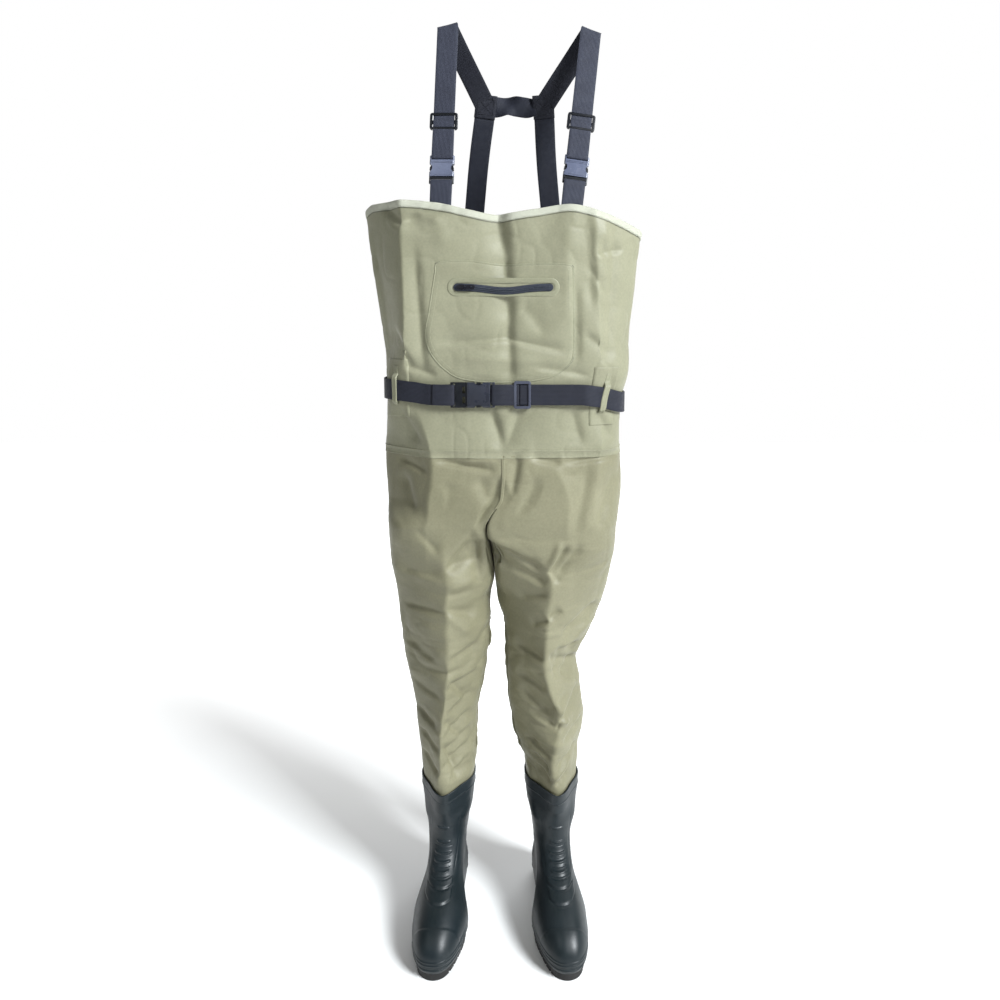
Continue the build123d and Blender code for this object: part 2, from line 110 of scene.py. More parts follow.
def noise(p, scale, seed=0):
    """Smooth gradient-free noise in -1..1 at the points p (..., 3)."""
    q = np.asarray(p, float) * scale
    cell = np.floor(q).astype(np.int64)
    f = q - cell
    f = f * f * f * (f * (f * 6 - 15) + 10)
    total = 0.0
    for dx in (0, 1):
        for dy in (0, 1):
            for dz in (0, 1):
                c = cell + (dx, dy, dz)
                n = (c[..., 0] * 73856093) ^ (c[..., 1] * 19349663) ^ (c[..., 2] * 83492791) ^ (seed * 2654435)
                n = (n * 1103515245 + 12345) & 0x7FFFFFFF
                n = ((n ^ (n >> 13)) * 1274126177) & 0x7FFFFFFF
                value = ((n ^ (n >> 16)) & 0xFFFF) / 32767.5 - 1.0
                w = (f[..., 0] if dx else 1 - f[..., 0])
                w = w * (f[..., 1] if dy else 1 - f[..., 1])
                w = w * (f[..., 2] if dz else 1 - f[..., 2])
                total = total + w * value
    return total


def fold(q, a, b, width, depth, skew=0.0, ease=0.25):
    """Displacement of one soft fold from a to b on the flat cloth q (..., 2).

    Its two flanks meet in a rounded crease; skew makes one of them steeper.
    """
    a, b = np.array(a, float), np.array(b, float)
    along = b - a
    length = np.hypot(*along)
    along = along / length
    rel = q - a
    t = (rel[..., 0] * along[0] + rel[..., 1] * along[1]) / length
    d = -rel[..., 0] * along[1] + rel[..., 1] * along[0]
    w = width * (1 + skew * np.tanh(d / width))
    shape = np.exp(-np.power((d / w) ** 2 + 0.02, 0.72) * 1.3)
    ends = between(t, -ease * 0.4, ease, 1 - ease, 1 + ease * 0.4)
    return depth * shape * ends


# ------------------------------------------------------------------ mesh helpers
def mesh(name, verts, faces, uvs=None, smooth_shade=True):
    """A mesh object from millimetre points; uvs is one (u, v) in metres for each vertex."""
    v = np.asarray(verts, float).reshape(-1, 3).copy()
    v[:, 2] -= HANG
    data = bpy.data.meshes.new(name)
    data.from_pydata((v / 1000).tolist(), [], [tuple(int(i) for i in f) for f in faces])
    if uvs is not None:
        layer = data.uv_layers.new(name="cloth")
        loops = np.empty(len(data.loops), dtype=np.int64)
        data.loops.foreach_get("vertex_index", loops)
        layer.data.foreach_set("uv", np.asarray(uvs, float).reshape(-1, 2)[loops].ravel())
    if smooth_shade:
        data.polygons.foreach_set("use_smooth", [True] * len(data.polygons))
    data.update()
    obj = bpy.data.objects.new(name, data)
    bpy.context.scene.collection.objects.link(obj)
    return obj


def grid_faces(rows, cols, wrap=False, offset=0, flip=False):
    r = np.arange(rows - 1)[:, None]
    c = np.arange(cols if wrap else cols - 1)[None, :]
    n = (c + 1) % cols
    quads = stack(r * cols + c + 0 * n, r * cols + n, (r + 1) * cols + n, (r + 1) * cols + c + 0 * n)
    quads = quads.reshape(-1, 4) + offset
    return quads[:, ::-1] if flip else quads


def grid_mesh(name, p, uv, wrap=False, flip=False, rings=()):
    """A mesh object from a grid of points (rows, cols, 3), with flat ends on the rows named in rings."""
    p = np.asarray(p, float)
    rows, cols = p.shape[:2]
    faces = grid_faces(rows, cols, wrap, flip=flip).tolist()
    for row in rings:
        end = [row % rows * cols + i for i in range(cols)]
        faces.append(end if row == 0 or not flip else end[::-1])
    return mesh(name, p, faces, uv)


def grid_normals(p, wrap=True):
    """Unit normals of a grid of points (rows, cols, 3)."""
    if wrap:
        ext = np.concatenate([p[:, -1:], p, p[:, :1]], 1)
        du = (ext[:, 2:] - ext[:, :-2]) / 2
    else:
        du = np.gradient(p, axis=1)
    dv = np.gradient(p, axis=0)
    return unit(np.cross(du, dv))


def finish(obj, material, slot, body, *replaced):
    obj.data.materials.clear()
    obj.data.materials.append(material)
    if body:
        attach(obj, body)
    if replaced:
        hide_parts(*replaced)
    return obj


def thicken(obj):
    """Gives the cloth its thickness, inwards."""
    mod = obj.modifiers.new("thickness", "SOLIDIFY")
    mod.thickness = CLOTH_THICKNESS / 1000
    mod.offset = -1.0
    mod.use_rim = True


def join(name, objs):
    """One object from several."""
    whole = bmesh.new()
    for obj in objs:
        whole.from_mesh(obj.data)
    for obj in objs[1:]:
        bpy.data.meshes.remove(obj.data)
    whole.to_mesh(objs[0].data)
    whole.free()
    objs[0].name = name
    return objs[0]


def resample(points, step, closed=False):
    """A smooth line through the points (n, k), in even steps."""
    p = np.asarray(points, float)
    if closed:
        p = np.concatenate([p[-2:], p, p[:3]])
    else:
        p = np.concatenate([[2 * p[0] - p[1]], p, [2 * p[-1] - p[-2]]])
    out = []
    fine = 24  # points between two of the given ones
    for i in range(1, len(p) - 2):
        a, b, c, d = p[i - 1:i + 3]
        for t in np.linspace(0, 1, fine, endpoint=False):
            out.append(0.5 * (2 * b + (c - a) * t + (2 * a - 5 * b + 4 * c - d) * t**2
                              + (3 * b - 3 * c + d - a) * t**3))
    if closed:
        out = out[fine:-fine] + [out[fine]]
    else:
        out.append(p[-2])
    out = np.array(out)
    run = np.concatenate([[0], np.cumsum(np.linalg.norm(np.diff(out, axis=0), axis=1))])
    s = np.linspace(0, run[-1], max(3, int(run[-1] / step) + 1))
    return stack(*(np.interp(s, run, col) for col in out.T)), s


def ribbon(name, path, across, width, thick, step=3.0, round_to=0.7, waver=0.0):
    """Flat webbing along path (n, 3); across (n, 3) points over its width at each point."""
    both, s = resample(np.concatenate([path, across], 1), step)
    centre, side = both[:, :3], both[:, 3:]
    tangent = unit(np.gradient(centre, axis=0))
    side = unit(side - tangent * np.sum(side * tangent, 1, keepdims=True))
    normal = np.cross(side, tangent)
    r = min(round_to, thick / 2 * 0.95)
    half, t = width / 2, thick / 2
    us = np.linspace(-half + r, half - r, 9)
    top = [(u, t) for u in us]
    bottom = [(u, -t) for u in us[::-1]]
    section = top + [(half - r * 0.3, t - r * 0.3), (half, 0), (half - r * 0.3, -t + r * 0.3)]
    section += bottom + [(-half + r * 0.3, -t + r * 0.3), (-half, 0), (-half + r * 0.3, t - r * 0.3)]
    section = np.array(section)
    wave = waver * noise(stack(s * 0 + 3.1, s, s * 0), 1 / 45.0, 5)[:, None, None]
    twist = waver * noise(stack(s * 0 + 9.1, s, s * 0), 1 / 60.0, 6)[:, None, None]
    sx = section[None, :, 0, None]
    pts = (centre[:, None] + side[:, None] * sx
           + normal[:, None] * (section[None, :, 1, None] + wave + twist * sx / half))
    uv = stack((section[None, :, 0] + half) / 1000, s[:, None] / 1000)
    return grid_mesh(name, pts, uv, wrap=True, flip=True, rings=(0, -1))


# ------------------------------------------------------------------ materials
def rgba(c):
    return (*c, 1.0)


class Nodes:
    """A short way to write a node tree."""

    def __init__(self, name, **shader):
        self.mat = bpy.data.materials.new(name)
        self.mat.use_nodes = True
        self.tree = self.mat.node_tree
        self.tree.nodes.clear()
        self.bsdf = self.add("ShaderNodeBsdfPrincipled")
        self.link(self.bsdf.outputs[0], self.add("ShaderNodeOutputMaterial").inputs[0])
        for key, value in shader.items():
            self.bsdf.inputs[key.replace("_", " ")].default_value = value

    def add(self, kind, **props):
        node = self.tree.nodes.new(kind)
        for key, value in props.items():
            setattr(node, key, value)
        return node

    def link(self, a, b):
        self.tree.links.new(a, b)

    def feed(self, *pairs):
        """Each pair is a node's output, a colour or a number, and the socket that takes it."""
        for value, socket in pairs:
            if isinstance(value, bpy.types.NodeSocket):
                self.link(value, socket)
            else:
                socket.default_value = rgba(value) if isinstance(value, tuple) else value

    def coords(self, which):
        return self.add("ShaderNodeTexCoord").outputs[which]

    def noise(self, vector, scale, detail=4.0, rough=0.55):
        n = self.add("ShaderNodeTexNoise")
        self.feed((vector, n.inputs["Vector"]), (scale, n.inputs["Scale"]), (detail, n.inputs["Detail"]),
                  (rough, n.inputs["Roughness"]))
        return n.outputs["Fac"]

    def wave(self, vector, scale, axis, distort=0.0):
        w = self.add("ShaderNodeTexWave", wave_type="BANDS", bands_direction=axis)
        self.feed((vector, w.inputs["Vector"]), (scale, w.inputs["Scale"]), (distort, w.inputs["Distortion"]),
                  (1.0, w.inputs["Detail"]))
        return w.outputs["Fac"]

    def ramp(self, fac, stops):
        r = self.add("ShaderNodeValToRGB")
        while len(r.color_ramp.elements) < len(stops):
            r.color_ramp.elements.new(0.5)
        for element, (at, colour) in zip(r.color_ramp.elements, stops):
            element.position = at
            element.color = (colour, colour, colour, 1)
        self.link(fac, r.inputs[0])
        return r.outputs[0]

    def mix(self, fac, a, b, blend="MIX"):
        m = self.add("ShaderNodeMix", data_type="RGBA", blend_type=blend)
        self.feed((fac, m.inputs[0]), (a, m.inputs[6]), (b, m.inputs[7]))
        return m.outputs[2]

    def maths(self, op, a, b):
        m = self.add("ShaderNodeMath", operation=op)
        self.feed((a, m.inputs[0]), (b, m.inputs[1]))
        return m.outputs[0]

    def bump(self, height, strength, distance, after=None):
        b = self.add("ShaderNodeBump")
        self.feed(*zip((height, strength, distance), (b.inputs[k] for k in ("Height", "Strength", "Distance"))))
        if after is not None:
            self.link(after, b.inputs["Normal"])
        return b.outputs[0]

    def use(self, **outputs):
        """Links outputs to the shader's sockets of those names and returns the material."""
        for key, value in outputs.items():
            self.link(value, self.bsdf.inputs[key.replace("_", " ")])
        return self.mat


def cloth(name, dark, light, rough=0.5):
    """Coated woven polyester: a fine weave, mottled colour and a satin coat."""
    n = Nodes(name, Sheen_Weight=0.04, Sheen_Roughness=0.5, Specular_IOR_Level=0.34)
    uv = n.coords("UV")
    obj = n.coords("Object")
    big = n.noise(obj, 5.5, 4)
    small = n.noise(obj, 260.0, 2)
    colour = n.mix(n.ramp(big, [(0.30, 0.0), (0.72, 1.0)]), dark, light)
    colour = n.mix(0.16, colour, n.ramp(small, [(0.3, 0.35), (0.7, 0.75)]), "OVERLAY")
    weave = n.maths("MULTIPLY", n.wave(uv, 310.0, "X"), n.wave(uv, 310.0, "Y"))
    coat = n.bump(n.noise(obj, 38.0, 6, 0.62), 0.22, 0.0016)
    normal = n.bump(weave, 0.20, 0.00025, coat)
    gloss = n.ramp(n.noise(obj, 30.0, 5), [(0.3, rough - 0.06), (0.7, rough + 0.09)])
    return n.use(Base_Color=colour, Roughness=gloss, Normal=normal)


def bands(spacing):
    """The wave texture's scale for bands spacing millimetres apart."""
    return 2000 * np.pi / (20 * spacing)


def webbing(name, dark, light, rib=2.3, pick=1.15, rough=0.62):
    """Woven tape: ribs along it, picks across it, and a paler tone on the ribs."""
    n = Nodes(name, Sheen_Weight=0.10, Sheen_Roughness=0.4, Specular_IOR_Level=0.28)
    uv = n.coords("UV")
    obj = n.coords("Object")
    weave = n.maths("ADD", n.maths("MULTIPLY", n.wave(uv, bands(rib), "X"), 0.6),
                    n.maths("MULTIPLY", n.wave(uv, bands(pick), "Y", 0.4), 0.4))
    tone = n.mix(n.ramp(weave, [(0.25, 0.0), (0.85, 1.0)]), dark, light)
    colour = n.mix(n.ramp(n.noise(obj, 40.0, 5), [(0.35, 0.0), (0.7, 0.4)]), tone, dark)
    gloss = n.ramp(n.noise(obj, 90.0, 3), [(0.3, rough - 0.07), (0.7, rough + 0.1)])
    return n.use(Base_Color=colour, Roughness=gloss, Normal=n.bump(weave, 0.55, 0.0006))


def moulded(name, colour, lighter, rough, grain=900.0, depth=0.0002, soft=0.25, shine=0.5):
    """Moulded plastic or rubber: slight tone changes, fine grain and dulled patches."""
    n = Nodes(name, Specular_IOR_Level=shine)
    obj = n.coords("Object")
    tone = n.mix(n.ramp(n.noise(obj, 14.0, 5), [(0.35, 0.0), (0.75, 1.0)]), colour, lighter)
    gloss = n.ramp(n.noise(obj, 26.0, 6, 0.65), [(0.3, rough - soft * 0.3), (0.75, rough + soft)])
    return n.use(Base_Color=tone, Roughness=gloss, Normal=n.bump(n.noise(obj, grain, 2), 0.3, depth))


BIB = cloth("bib_cloth", (0.197, 0.194, 0.128), (0.245, 0.241, 0.165))
LEG = cloth("leg_cloth", (0.163, 0.155, 0.096), (0.213, 0.203, 0.130))
TAPE = cloth("seam_tape", (0.198, 0.197, 0.130), (0.245, 0.244, 0.167), 0.42)
LEG_TAPE = cloth("leg_seam_tape", (0.163, 0.155, 0.096), (0.213, 0.203, 0.130), 0.42)
# Thin dark lines of painted shade along the edges of the pocket tape and the binding.
EDGE_SHADE = moulded("edge_shade_line", (0.080, 0.082, 0.054), (0.105, 0.108, 0.072), 0.45)
BINDING = webbing("binding_tape", (0.35, 0.355, 0.28), (0.49, 0.495, 0.42), 0.9, 0.9)
STRAP = webbing("strap_webbing", (0.013, 0.015, 0.025), (0.042, 0.047, 0.072))
# Dark webbing: the yoke patches and their stitches are dark, and on the straps' rear runs the same darker tone is
# painted shade, as they face away from the light.
DARK_AND_SHADED_STRAP = webbing("dark_and_shaded_webbing", (0.004, 0.0045, 0.009), (0.015, 0.017, 0.028))
ELASTIC = webbing("elastic", (0.004, 0.005, 0.011), (0.011, 0.014, 0.027), 1.6, 0.9)
BELT = webbing("belt_webbing", (0.005, 0.006, 0.011), (0.017, 0.019, 0.033))
PLASTIC = moulded("buckle_plastic", (0.002, 0.003, 0.005), (0.005, 0.006, 0.010), 0.26, shine=0.32)
# The belt buckle's receiver is lighter than the black plastic: painted highlight on its glossy body.
BELT_SHELL = moulded("belt_buckle_shell", (0.010, 0.012, 0.019), (0.022, 0.025, 0.038), 0.24)
# The shoulder buckles' receivers get a pale bluish tone: painted reflection of the bright light on their glossy
# black plates.
PAINTED_REFLECTION_SHELL = moulded("buckle_shell_painted_reflection", (0.066, 0.077, 0.122), (0.115, 0.130, 0.190), 0.22)
# The belt's slider gets a paler bluish grey: painted highlight on its glossy black frame.
SLIDER = moulded("slider_painted_highlight", (0.032, 0.036, 0.054), (0.058, 0.064, 0.092), 0.24)
METAL = moulded("black_metal", (0.004, 0.004, 0.007), (0.009, 0.009, 0.014), 0.30, shine=0.4)
ZIP_CLOTH = webbing("zip_tape", (0.014, 0.017, 0.027), (0.032, 0.039, 0.058), 1.2, 0.8)
ZIP_COIL = moulded("zip_coil", (0.020, 0.026, 0.040), (0.038, 0.048, 0.074), 0.34)
# Dark green-grey PVC; its slight blue tint is painted, standing in for the bluish highlights on the toes and
# insteps.
BOOT = moulded("boot_pvc", (0.004, 0.009, 0.011), (0.010, 0.016, 0.020), 0.40, 420.0, 0.0003, 0.12, 0.42)
SOLE = moulded("sole_rubber", (0.005, 0.005, 0.005), (0.012, 0.011, 0.011), 0.55, 700.0, 0.0003)
FELT = webbing("insole", (0.02, 0.02, 0.02), (0.05, 0.05, 0.05), 1.5, 1.5)


# ------------------------------------------------------------------ the garment's shape
def body_at(theta, z):
    """The garment's body without folds.  theta is 0 at the wearer's left, -90 degrees in front."""
    left = curve(z, [(780, 221), (875, 232), (944, 232), (1042, 230), (1099, 241), (1166, 244),
                     (1260, 256), (1344, 266), (1400, 268)])
    right = curve(z, [(780, 214), (860, 217), (944, 218), (1045, 214), (1099, 216), (1180, 227),
                      (1260, 238), (1393, 252)])
    deep = curve(z, [(780, 108), (870, 103), (940, 98.5), (1000, 95), (1051, 94.4), (1100, 95),
                     (1200, 95.2), (1243, 94.4), (1290, 95.2), (1400, 95)])
    c, s = np.cos(theta), np.sin(theta)
    wide = np.where(c > 0, left, right)
    power = np.where(s < 0, 2 / 3.7, 2 / 2.7)  # the front's outline is squarer than the back's
    x = wide * np.sign(c) * np.abs(c) ** power
    y = deep * np.sign(s) * np.abs(s) ** power
    # Beyond an upright crease each side of the front runs back as a flat plane.
    corner = np.where(c > 0, curve(z, [(842, 176), (1000, 188), (1100, 184), (1220, 176), (1372, 168)]),
                      curve(z, [(842, 126), (930, 124), (1000, 142), (1060, 166), (1220, 172), (1372, 175)]))
    share = smooth(z, 1076, 1140) * np.where(c > 0, 0.55, 0.94)
    share = share + smooth(z, 1034, 950) * np.where(c > 0, 0.25, 0.72) * smooth(z, 800, 850)
    beyond = np.clip((np.abs(x) - corner) / (wide - corner), 0, 1)
    plane = -deep * (1 - beyond ** 1.12)
    return x, np.where(s < 0, y * (1 - share) + plane * share, y)


def bib_top(x, y):
    """Height of the bib's top edge."""
    front = curve(x, [(-252, 1394), (-205, 1392), (-170, 1392), (-96, 1384), (-60, 1376), (-12, 1368),
                      (60, 1376), (126, 1384), (190, 1370), (235, 1356), (266, 1346)])
    back = 1292 + 10 * np.cos(x / 60.0)
    drop = smooth(y, 4, 74)
    side = np.where(np.asarray(x) < 0, 1.0, 0.75)
    return front * (1 - drop) + back * drop - 14 * side * smooth(y, -30, 20) * (1 - drop)


def even_angles(count, z, start=-np.pi, end=np.pi):
    """Angles that are evenly spaced along the body's outline at height z."""
    theta = np.linspace(start, end, 6000)
    x, y = body_at(theta, z)
    run = np.concatenate([[0], np.cumsum(np.hypot(np.diff(x), np.diff(y)))])
    return np.interp(np.linspace(0, run[-1], count), run, theta)


# Folds of the bib's front and back, in x and height: from, to, width, depth, skew.
# A positive depth is a crease and a negative one a ridge.
BIB_FRONT_FOLDS = [
    ((-10, 1410), (8, 1300), 20, 16, -0.5), ((8, 1312), (15, 1166), 18, 12, -0.5),
    ((14, 1180), (20, 1066), 16, 9, -0.5), ((-214, 1392), (-174, 1350), 10, 9, 0.5),
    ((-174, 1352), (-92, 1386), 11, 9, -0.5), ((-150, 1372), (-104, 1356), 12, -4, 0.2),
    ((-100, 1400), (-104, 1310), 30, -5, 0.0), ((126, 1400), (134, 1290), 30, -5, 0.1),
    ((112, 1376), (124, 1160), 20, -4, -0.5), ((150, 1380), (164, 1200), 17, 6, -0.5),
    ((184, 1366), (190, 1220), 14, -4, -0.4), ((206, 1350), (198, 1110), 15, 6, -0.5),
    ((172, 1300), (222, 1312), 9, 6, 0.6), ((180, 1330), (196, 1268), 9, 5, -0.4),
    ((158, 1280), (198, 1222), 10, 4, 0.4), ((-236, 1340), (-208, 1110), 14, 6, 0.3),
    ((-152, 1310), (-138, 1090), 15, 8, -0.5), ((-112, 1142), (22, 1154), 9, 6.5, 0.6),
    ((10, 1152), (118, 1128), 9, 7, 0.6), ((-90, 1118), (100, 1108), 16, -4, 0.0),
    ((26, 1226), (8, 1146), 18, 4, -0.2), ((36, 1216), (84, 1156), 18, 4, 0.3),
    ((134, 1250), (138, 1110), 14, 5, -0.5), ((150, 1160), (206, 1120), 14, 5, -0.4),
    ((60, 1102), (160, 1086), 8, 5, 0.4), ((-176, 1104), (-116, 1086), 9, 6, 0.4),
    ((-196, 1170), (-160, 1100), 10, 6, -0.4), ((-190, 1030), (-150, 962), 13, 7, -0.4),
    ((-20, 1034), (6, 948), 15, 9, -0.4), ((40, 1034), (12, 950), 15, 7, 0.4),
    ((130, 1026), (148, 960), 14, 5, -0.4), ((176, 1024), (206, 965), 14, 6, -0.4),
    ((204, 1100), (200, 1010), 12, 6, -0.3),
    # below the waist
    ((-190, 928), (-136, 908), 8, 6, 0.5), ((-116, 930), (-16, 912), 8, 9, 0.6),
    ((-70, 928), (-12, 932), 7, -4, 0.0), ((30, 944), (14, 856), 13, 9, -0.5),
    ((100, 932), (106, 790), 34, -7, -0.3), ((56, 936), (112, 924), 8, 7, 0.5),
    ((4, 900), (44, 800), 10, -5, 0.4), ((70, 900), (30, 810), 18, 6, 0.4), ((120, 926), (226, 938), 8, 8, 0.6),
    ((164, 925), (138, 790), 20, 7, -0.5), ((214, 905), (186, 800), 16, 8, -0.4),
    ((-40, 900), (-20, 850), 18, 6, 0.4), ((-180, 900), (-160, 830), 14, 7, -0.4),
    ((-90, 890), (-100, 830), 20, 5, 0.3), ((-6, 900), (-24, 815), 9, 8, 0.4),
]
BIB_BACK_FOLDS = [
    ((-64, 1310), (-70, 1190), 30, -7, 0.1), ((106, 1310), (112, 1180), 30, -7, 0.1),
    ((20, 1320), (14, 1120), 44, 12, 0.2), ((-140, 1310), (-120, 1110), 26, 7, -0.3),
    ((170, 1310), (150, 1100), 26, 7, 0.3), ((-20, 1240), (-60, 1100), 22, 4, 0.2),
    ((60, 1240), (90, 1090), 22, 4, -0.2), ((-190, 1020), (-130, 960), 18, 5, 0.2),
    ((-80, 1030), (-60, 955), 20, 5, 0.2), ((10, 1030), (4, 950), 20, 6, -0.2),
    ((90, 1030), (80, 958), 20, 5, 0.2), ((170, 1026), (150, 965), 18, 5, 0.2),
]


def outwards(theta, z, x, y):
    """Unit directions out of the body's outline, in plan, at its points x, y."""
    xa, ya = body_at(theta + 1e-3, z)
    return unit(stack(ya - y, x - xa))


def body_surface(theta, z):
    """The body with its folds, as points (..., 3)."""
    theta, z = np.broadcast_arrays(np.asarray(theta, float), np.asarray(z, float))
    x, y = body_at(theta, z)
    n = outwards(theta, z, x, y)
    q = stack(x, z)
    push = np.zeros_like(x)
    front = smooth(-y, -10, 45)
    back = smooth(y, -10, 45)
    for a, b, width, depth, skew in BIB_FRONT_FOLDS:
        push -= front * fold(q, a, b, width, depth, skew)
    for a, b, width, depth, skew in BIB_BACK_FOLDS:
        push -= back * fold(q, a, b, width, depth, skew)
    p = stack(x, y, z)
    bend = noise(p, 1 / 120.0, 11) * 3.0 + noise(p * (1, 1, 0.6), 1 / 46.0, 12) * 1.3
    ridged = 1 - np.abs(noise(p * (1.0, 1, 0.8) + bend[..., None] * 9, 1 / 38.0, 14)) * 2.2
    small = noise(p * (1, 1, 0.8), 1 / 17.0, 13) * 0.3 - np.maximum(ridged, 0) ** 2 * 0.9
    upper = smooth(z, 1100, 1180)
    low = 1 - smooth(z, 960, 1010)
    calm = 1 - 0.6 * front * between(z, 1215, 1235, 1255, 1280) * (np.abs(x) < 140)
    push += (bend * (0.75 + 0.4 * upper + 0.3 * low) + small) * calm
    # The belt draws the cloth in, and it stands out again above and below.
    near = hump(z, belt_height(x, y), 25.0)
    push = push * (1 - 0.85 * near) - 1.5 * near
    # The zip and the belt's buckle lie flat on the front.
    flat = front * hump(z, 1240, 15.0, 4) * (1 - smooth(np.abs(x - 6), 94, 116))
    push = push * (1 - 0.97 * flat)
    # Cloth may not stand through the belt or the harness in front of it.
    push = np.minimum(push, 7.0)
    limit = np.where(y < 0, np.maximum(-96.0, y - 6.0), -1e9)
    px, py = x + n[..., 0] * push, y + n[..., 1] * push
    tight = front * hump(z, BELT_Z, 30.0, 4) * (np.abs(x) < 170)
    py = np.where((tight > 0.2) & (py < -94.5), -94.5, py)
    py = np.maximum(py, limit - 6)
    # The harness tabs are sewn behind the top edge, so the cloth stays in front of them.
    tabs = np.maximum(hump(x, -105, 31, 6), hump(x, 126, 31, 6))
    behind = front * smooth(z, 1322, 1342) * tabs
    py = py + (np.minimum(py, -93.0) - py) * behind
    return stack(px, py, z)


def belt_height(x, y):
    """The belt sits level across the front and slips down at the wearer's left side."""
    x, y = np.asarray(x, float), np.asarray(y, float)
    slip = 6 * smooth(x, 144, 192) + 12 * smooth(x, 178, 232) + 4 * smooth(y, 0, 80)
    return BELT_Z - slip + 8 * smooth(-x, 94, 215)


def surface_tree(obj):
    data = obj.data
    return BVHTree.FromPolygons([v.co.copy() for v in data.vertices],
                                [tuple(p.vertices) for p in data.polygons])


def on_cloth(tree, x, z, lift):
    """The point lift in front of the bib's cloth at x and height z, or None beside it."""
    hit, normal, *_ = tree.ray_cast(Vector((x / 1000, -0.4, (z - HANG) / 1000)), Vector((0, 1, 0)))
    if hit is None:
        return None
    if normal.y > 0:
        normal = -normal
    return np.array([hit.x * 1000, hit.y * 1000, hit.z * 1000 + HANG]) + np.array(normal) * lift


# ------------------------------------------------------------------ bib
BIB_COLS = 420
BIB_ROUND = 1085.0  # length of the bib's edge
WAIST_ROUND = 1060.0


def lifted(theta, z, lift):
    """A row of points round the body at the angles theta and heights z, lift off the cloth."""
    row, above = body_surface(theta, z), body_surface(theta, z + 2.0)
    return row + grid_normals(np.stack([row, above]))[0] * np.reshape(lift, (-1, 1))


def make_bib():
    rows = 150
    theta = even_angles(BIB_COLS + 1, 1150)[:-1]
    top = bib_top(*body_at(theta, 1372))
    z = SEAM + (top[None] - SEAM) * np.linspace(0, 1, rows)[:, None]
    run = np.arange(BIB_COLS) * (BIB_ROUND / BIB_COLS)
    bib = grid_mesh("bib", body_surface(theta[None], z), stack(run / 1000, z / 1000), wrap=True)
    thicken(bib)

    # The binding: down the outside, over the edge and down the inside.
    outer = [(11.5, -0.4), (11.2, 0.7), (10.2, 1.1), (9.2, 1.2), (5.0, 1.5), (1.5, 1.5), (0.0, 1.2)]
    inner = [(0.0, -2.8), (1.5, -3.1), (5.0, -3.1), (10.2, -2.6), (11.2, -2.2), (11.5, -1.2)]
    ring = []
    for down, lift in outer + [(-1.2, 0.4), (-1.6, -0.8), (-1.2, -2.0)] + inner:
        wavy = 0.25 * noise(stack(run, down, 0), 1 / 9.0, 31)
        ring.append(lifted(theta, top - max(down, 0.0), lift + wavy) + (0, 0, max(-down, 0.0)))
    uv = stack(np.linspace(0, 0.027, len(ring))[:, None], run[None] / 1000)
    binding = grid_mesh("bib_binding", ring, uv, wrap=True)

    # A thin dark line just under it: painted shade along the binding's lower edge.
    line = [(-0.8, -0.5), (-0.55, 0.3), (0.0, 0.45), (0.55, 0.3), (0.8, -0.5)]
    return bib, binding, tape_round("binding_shade_line", theta, top - 12.6, line, BIB_ROUND)


def tape_round(name, theta, z, section, length):
    """A tape round the body at the heights z, from (across, lift) points of its section."""
    rows = [lifted(theta, z + u, lift) for u, lift in section]
    uv = stack(np.array(section)[:, :1] / 1000, np.arange(len(theta)) * (length / 1000 / len(theta)))
    return grid_mesh(name, rows, uv, wrap=True)


def waist_tape():
    section = [(-7.5, -0.8), (-7.3, 0.5), (-6.6, 1.2), (-5.7, 1.2), (-4.9, 0.7), (0.0, 0.6),
               (4.9, 0.7), (5.7, 1.2), (6.6, 1.2), (7.3, 0.5), (7.5, -0.8)]
    return tape_round("waist_tape", even_angles(BIB_COLS + 1, SEAM)[:-1], SEAM, section, WAIST_ROUND)


# ------------------------------------------------------------------ trousers
def prow(turn, amount):
    """Draws in the flanks between the front crease and the sides."""
    t = np.abs(np.angle(np.exp(1j * turn)))
    return 1 - 0.15 * amount * np.sin(2 * np.clip(t, 0, np.pi / 2)) ** 2


# (height, outer edge, inner edge) of each leg, measured outwards from the middle
LEG_WIDTHS = {
    -1: [
        (1000, 218, 0), (760, 213, 1), (700, 208, 1.5), (673, 205, 4), (631, 202, 9), (583, 196, 17),
        (527, 189, 24), (463, 178, 36), (418, 171, 43), (384, 168, 43), (352, 165, 47), (300, 158, 49),
        (275, 155.5, 51), (250, 153, 54),
    ],
    1: [
        (1000, 232, 0), (760, 221, 1), (700, 211, 1.5), (673, 208, 4), (631, 199, 7), (583, 182, 12),
        (533, 157, 13), (500, 157, 13), (474, 163, 14), (431, 167, 16), (388, 169, 25), (367, 166, 29),
        (345, 161, 37), (300, 158, 49), (275, 156.5, 51.5), (250, 153, 54),
    ],
}
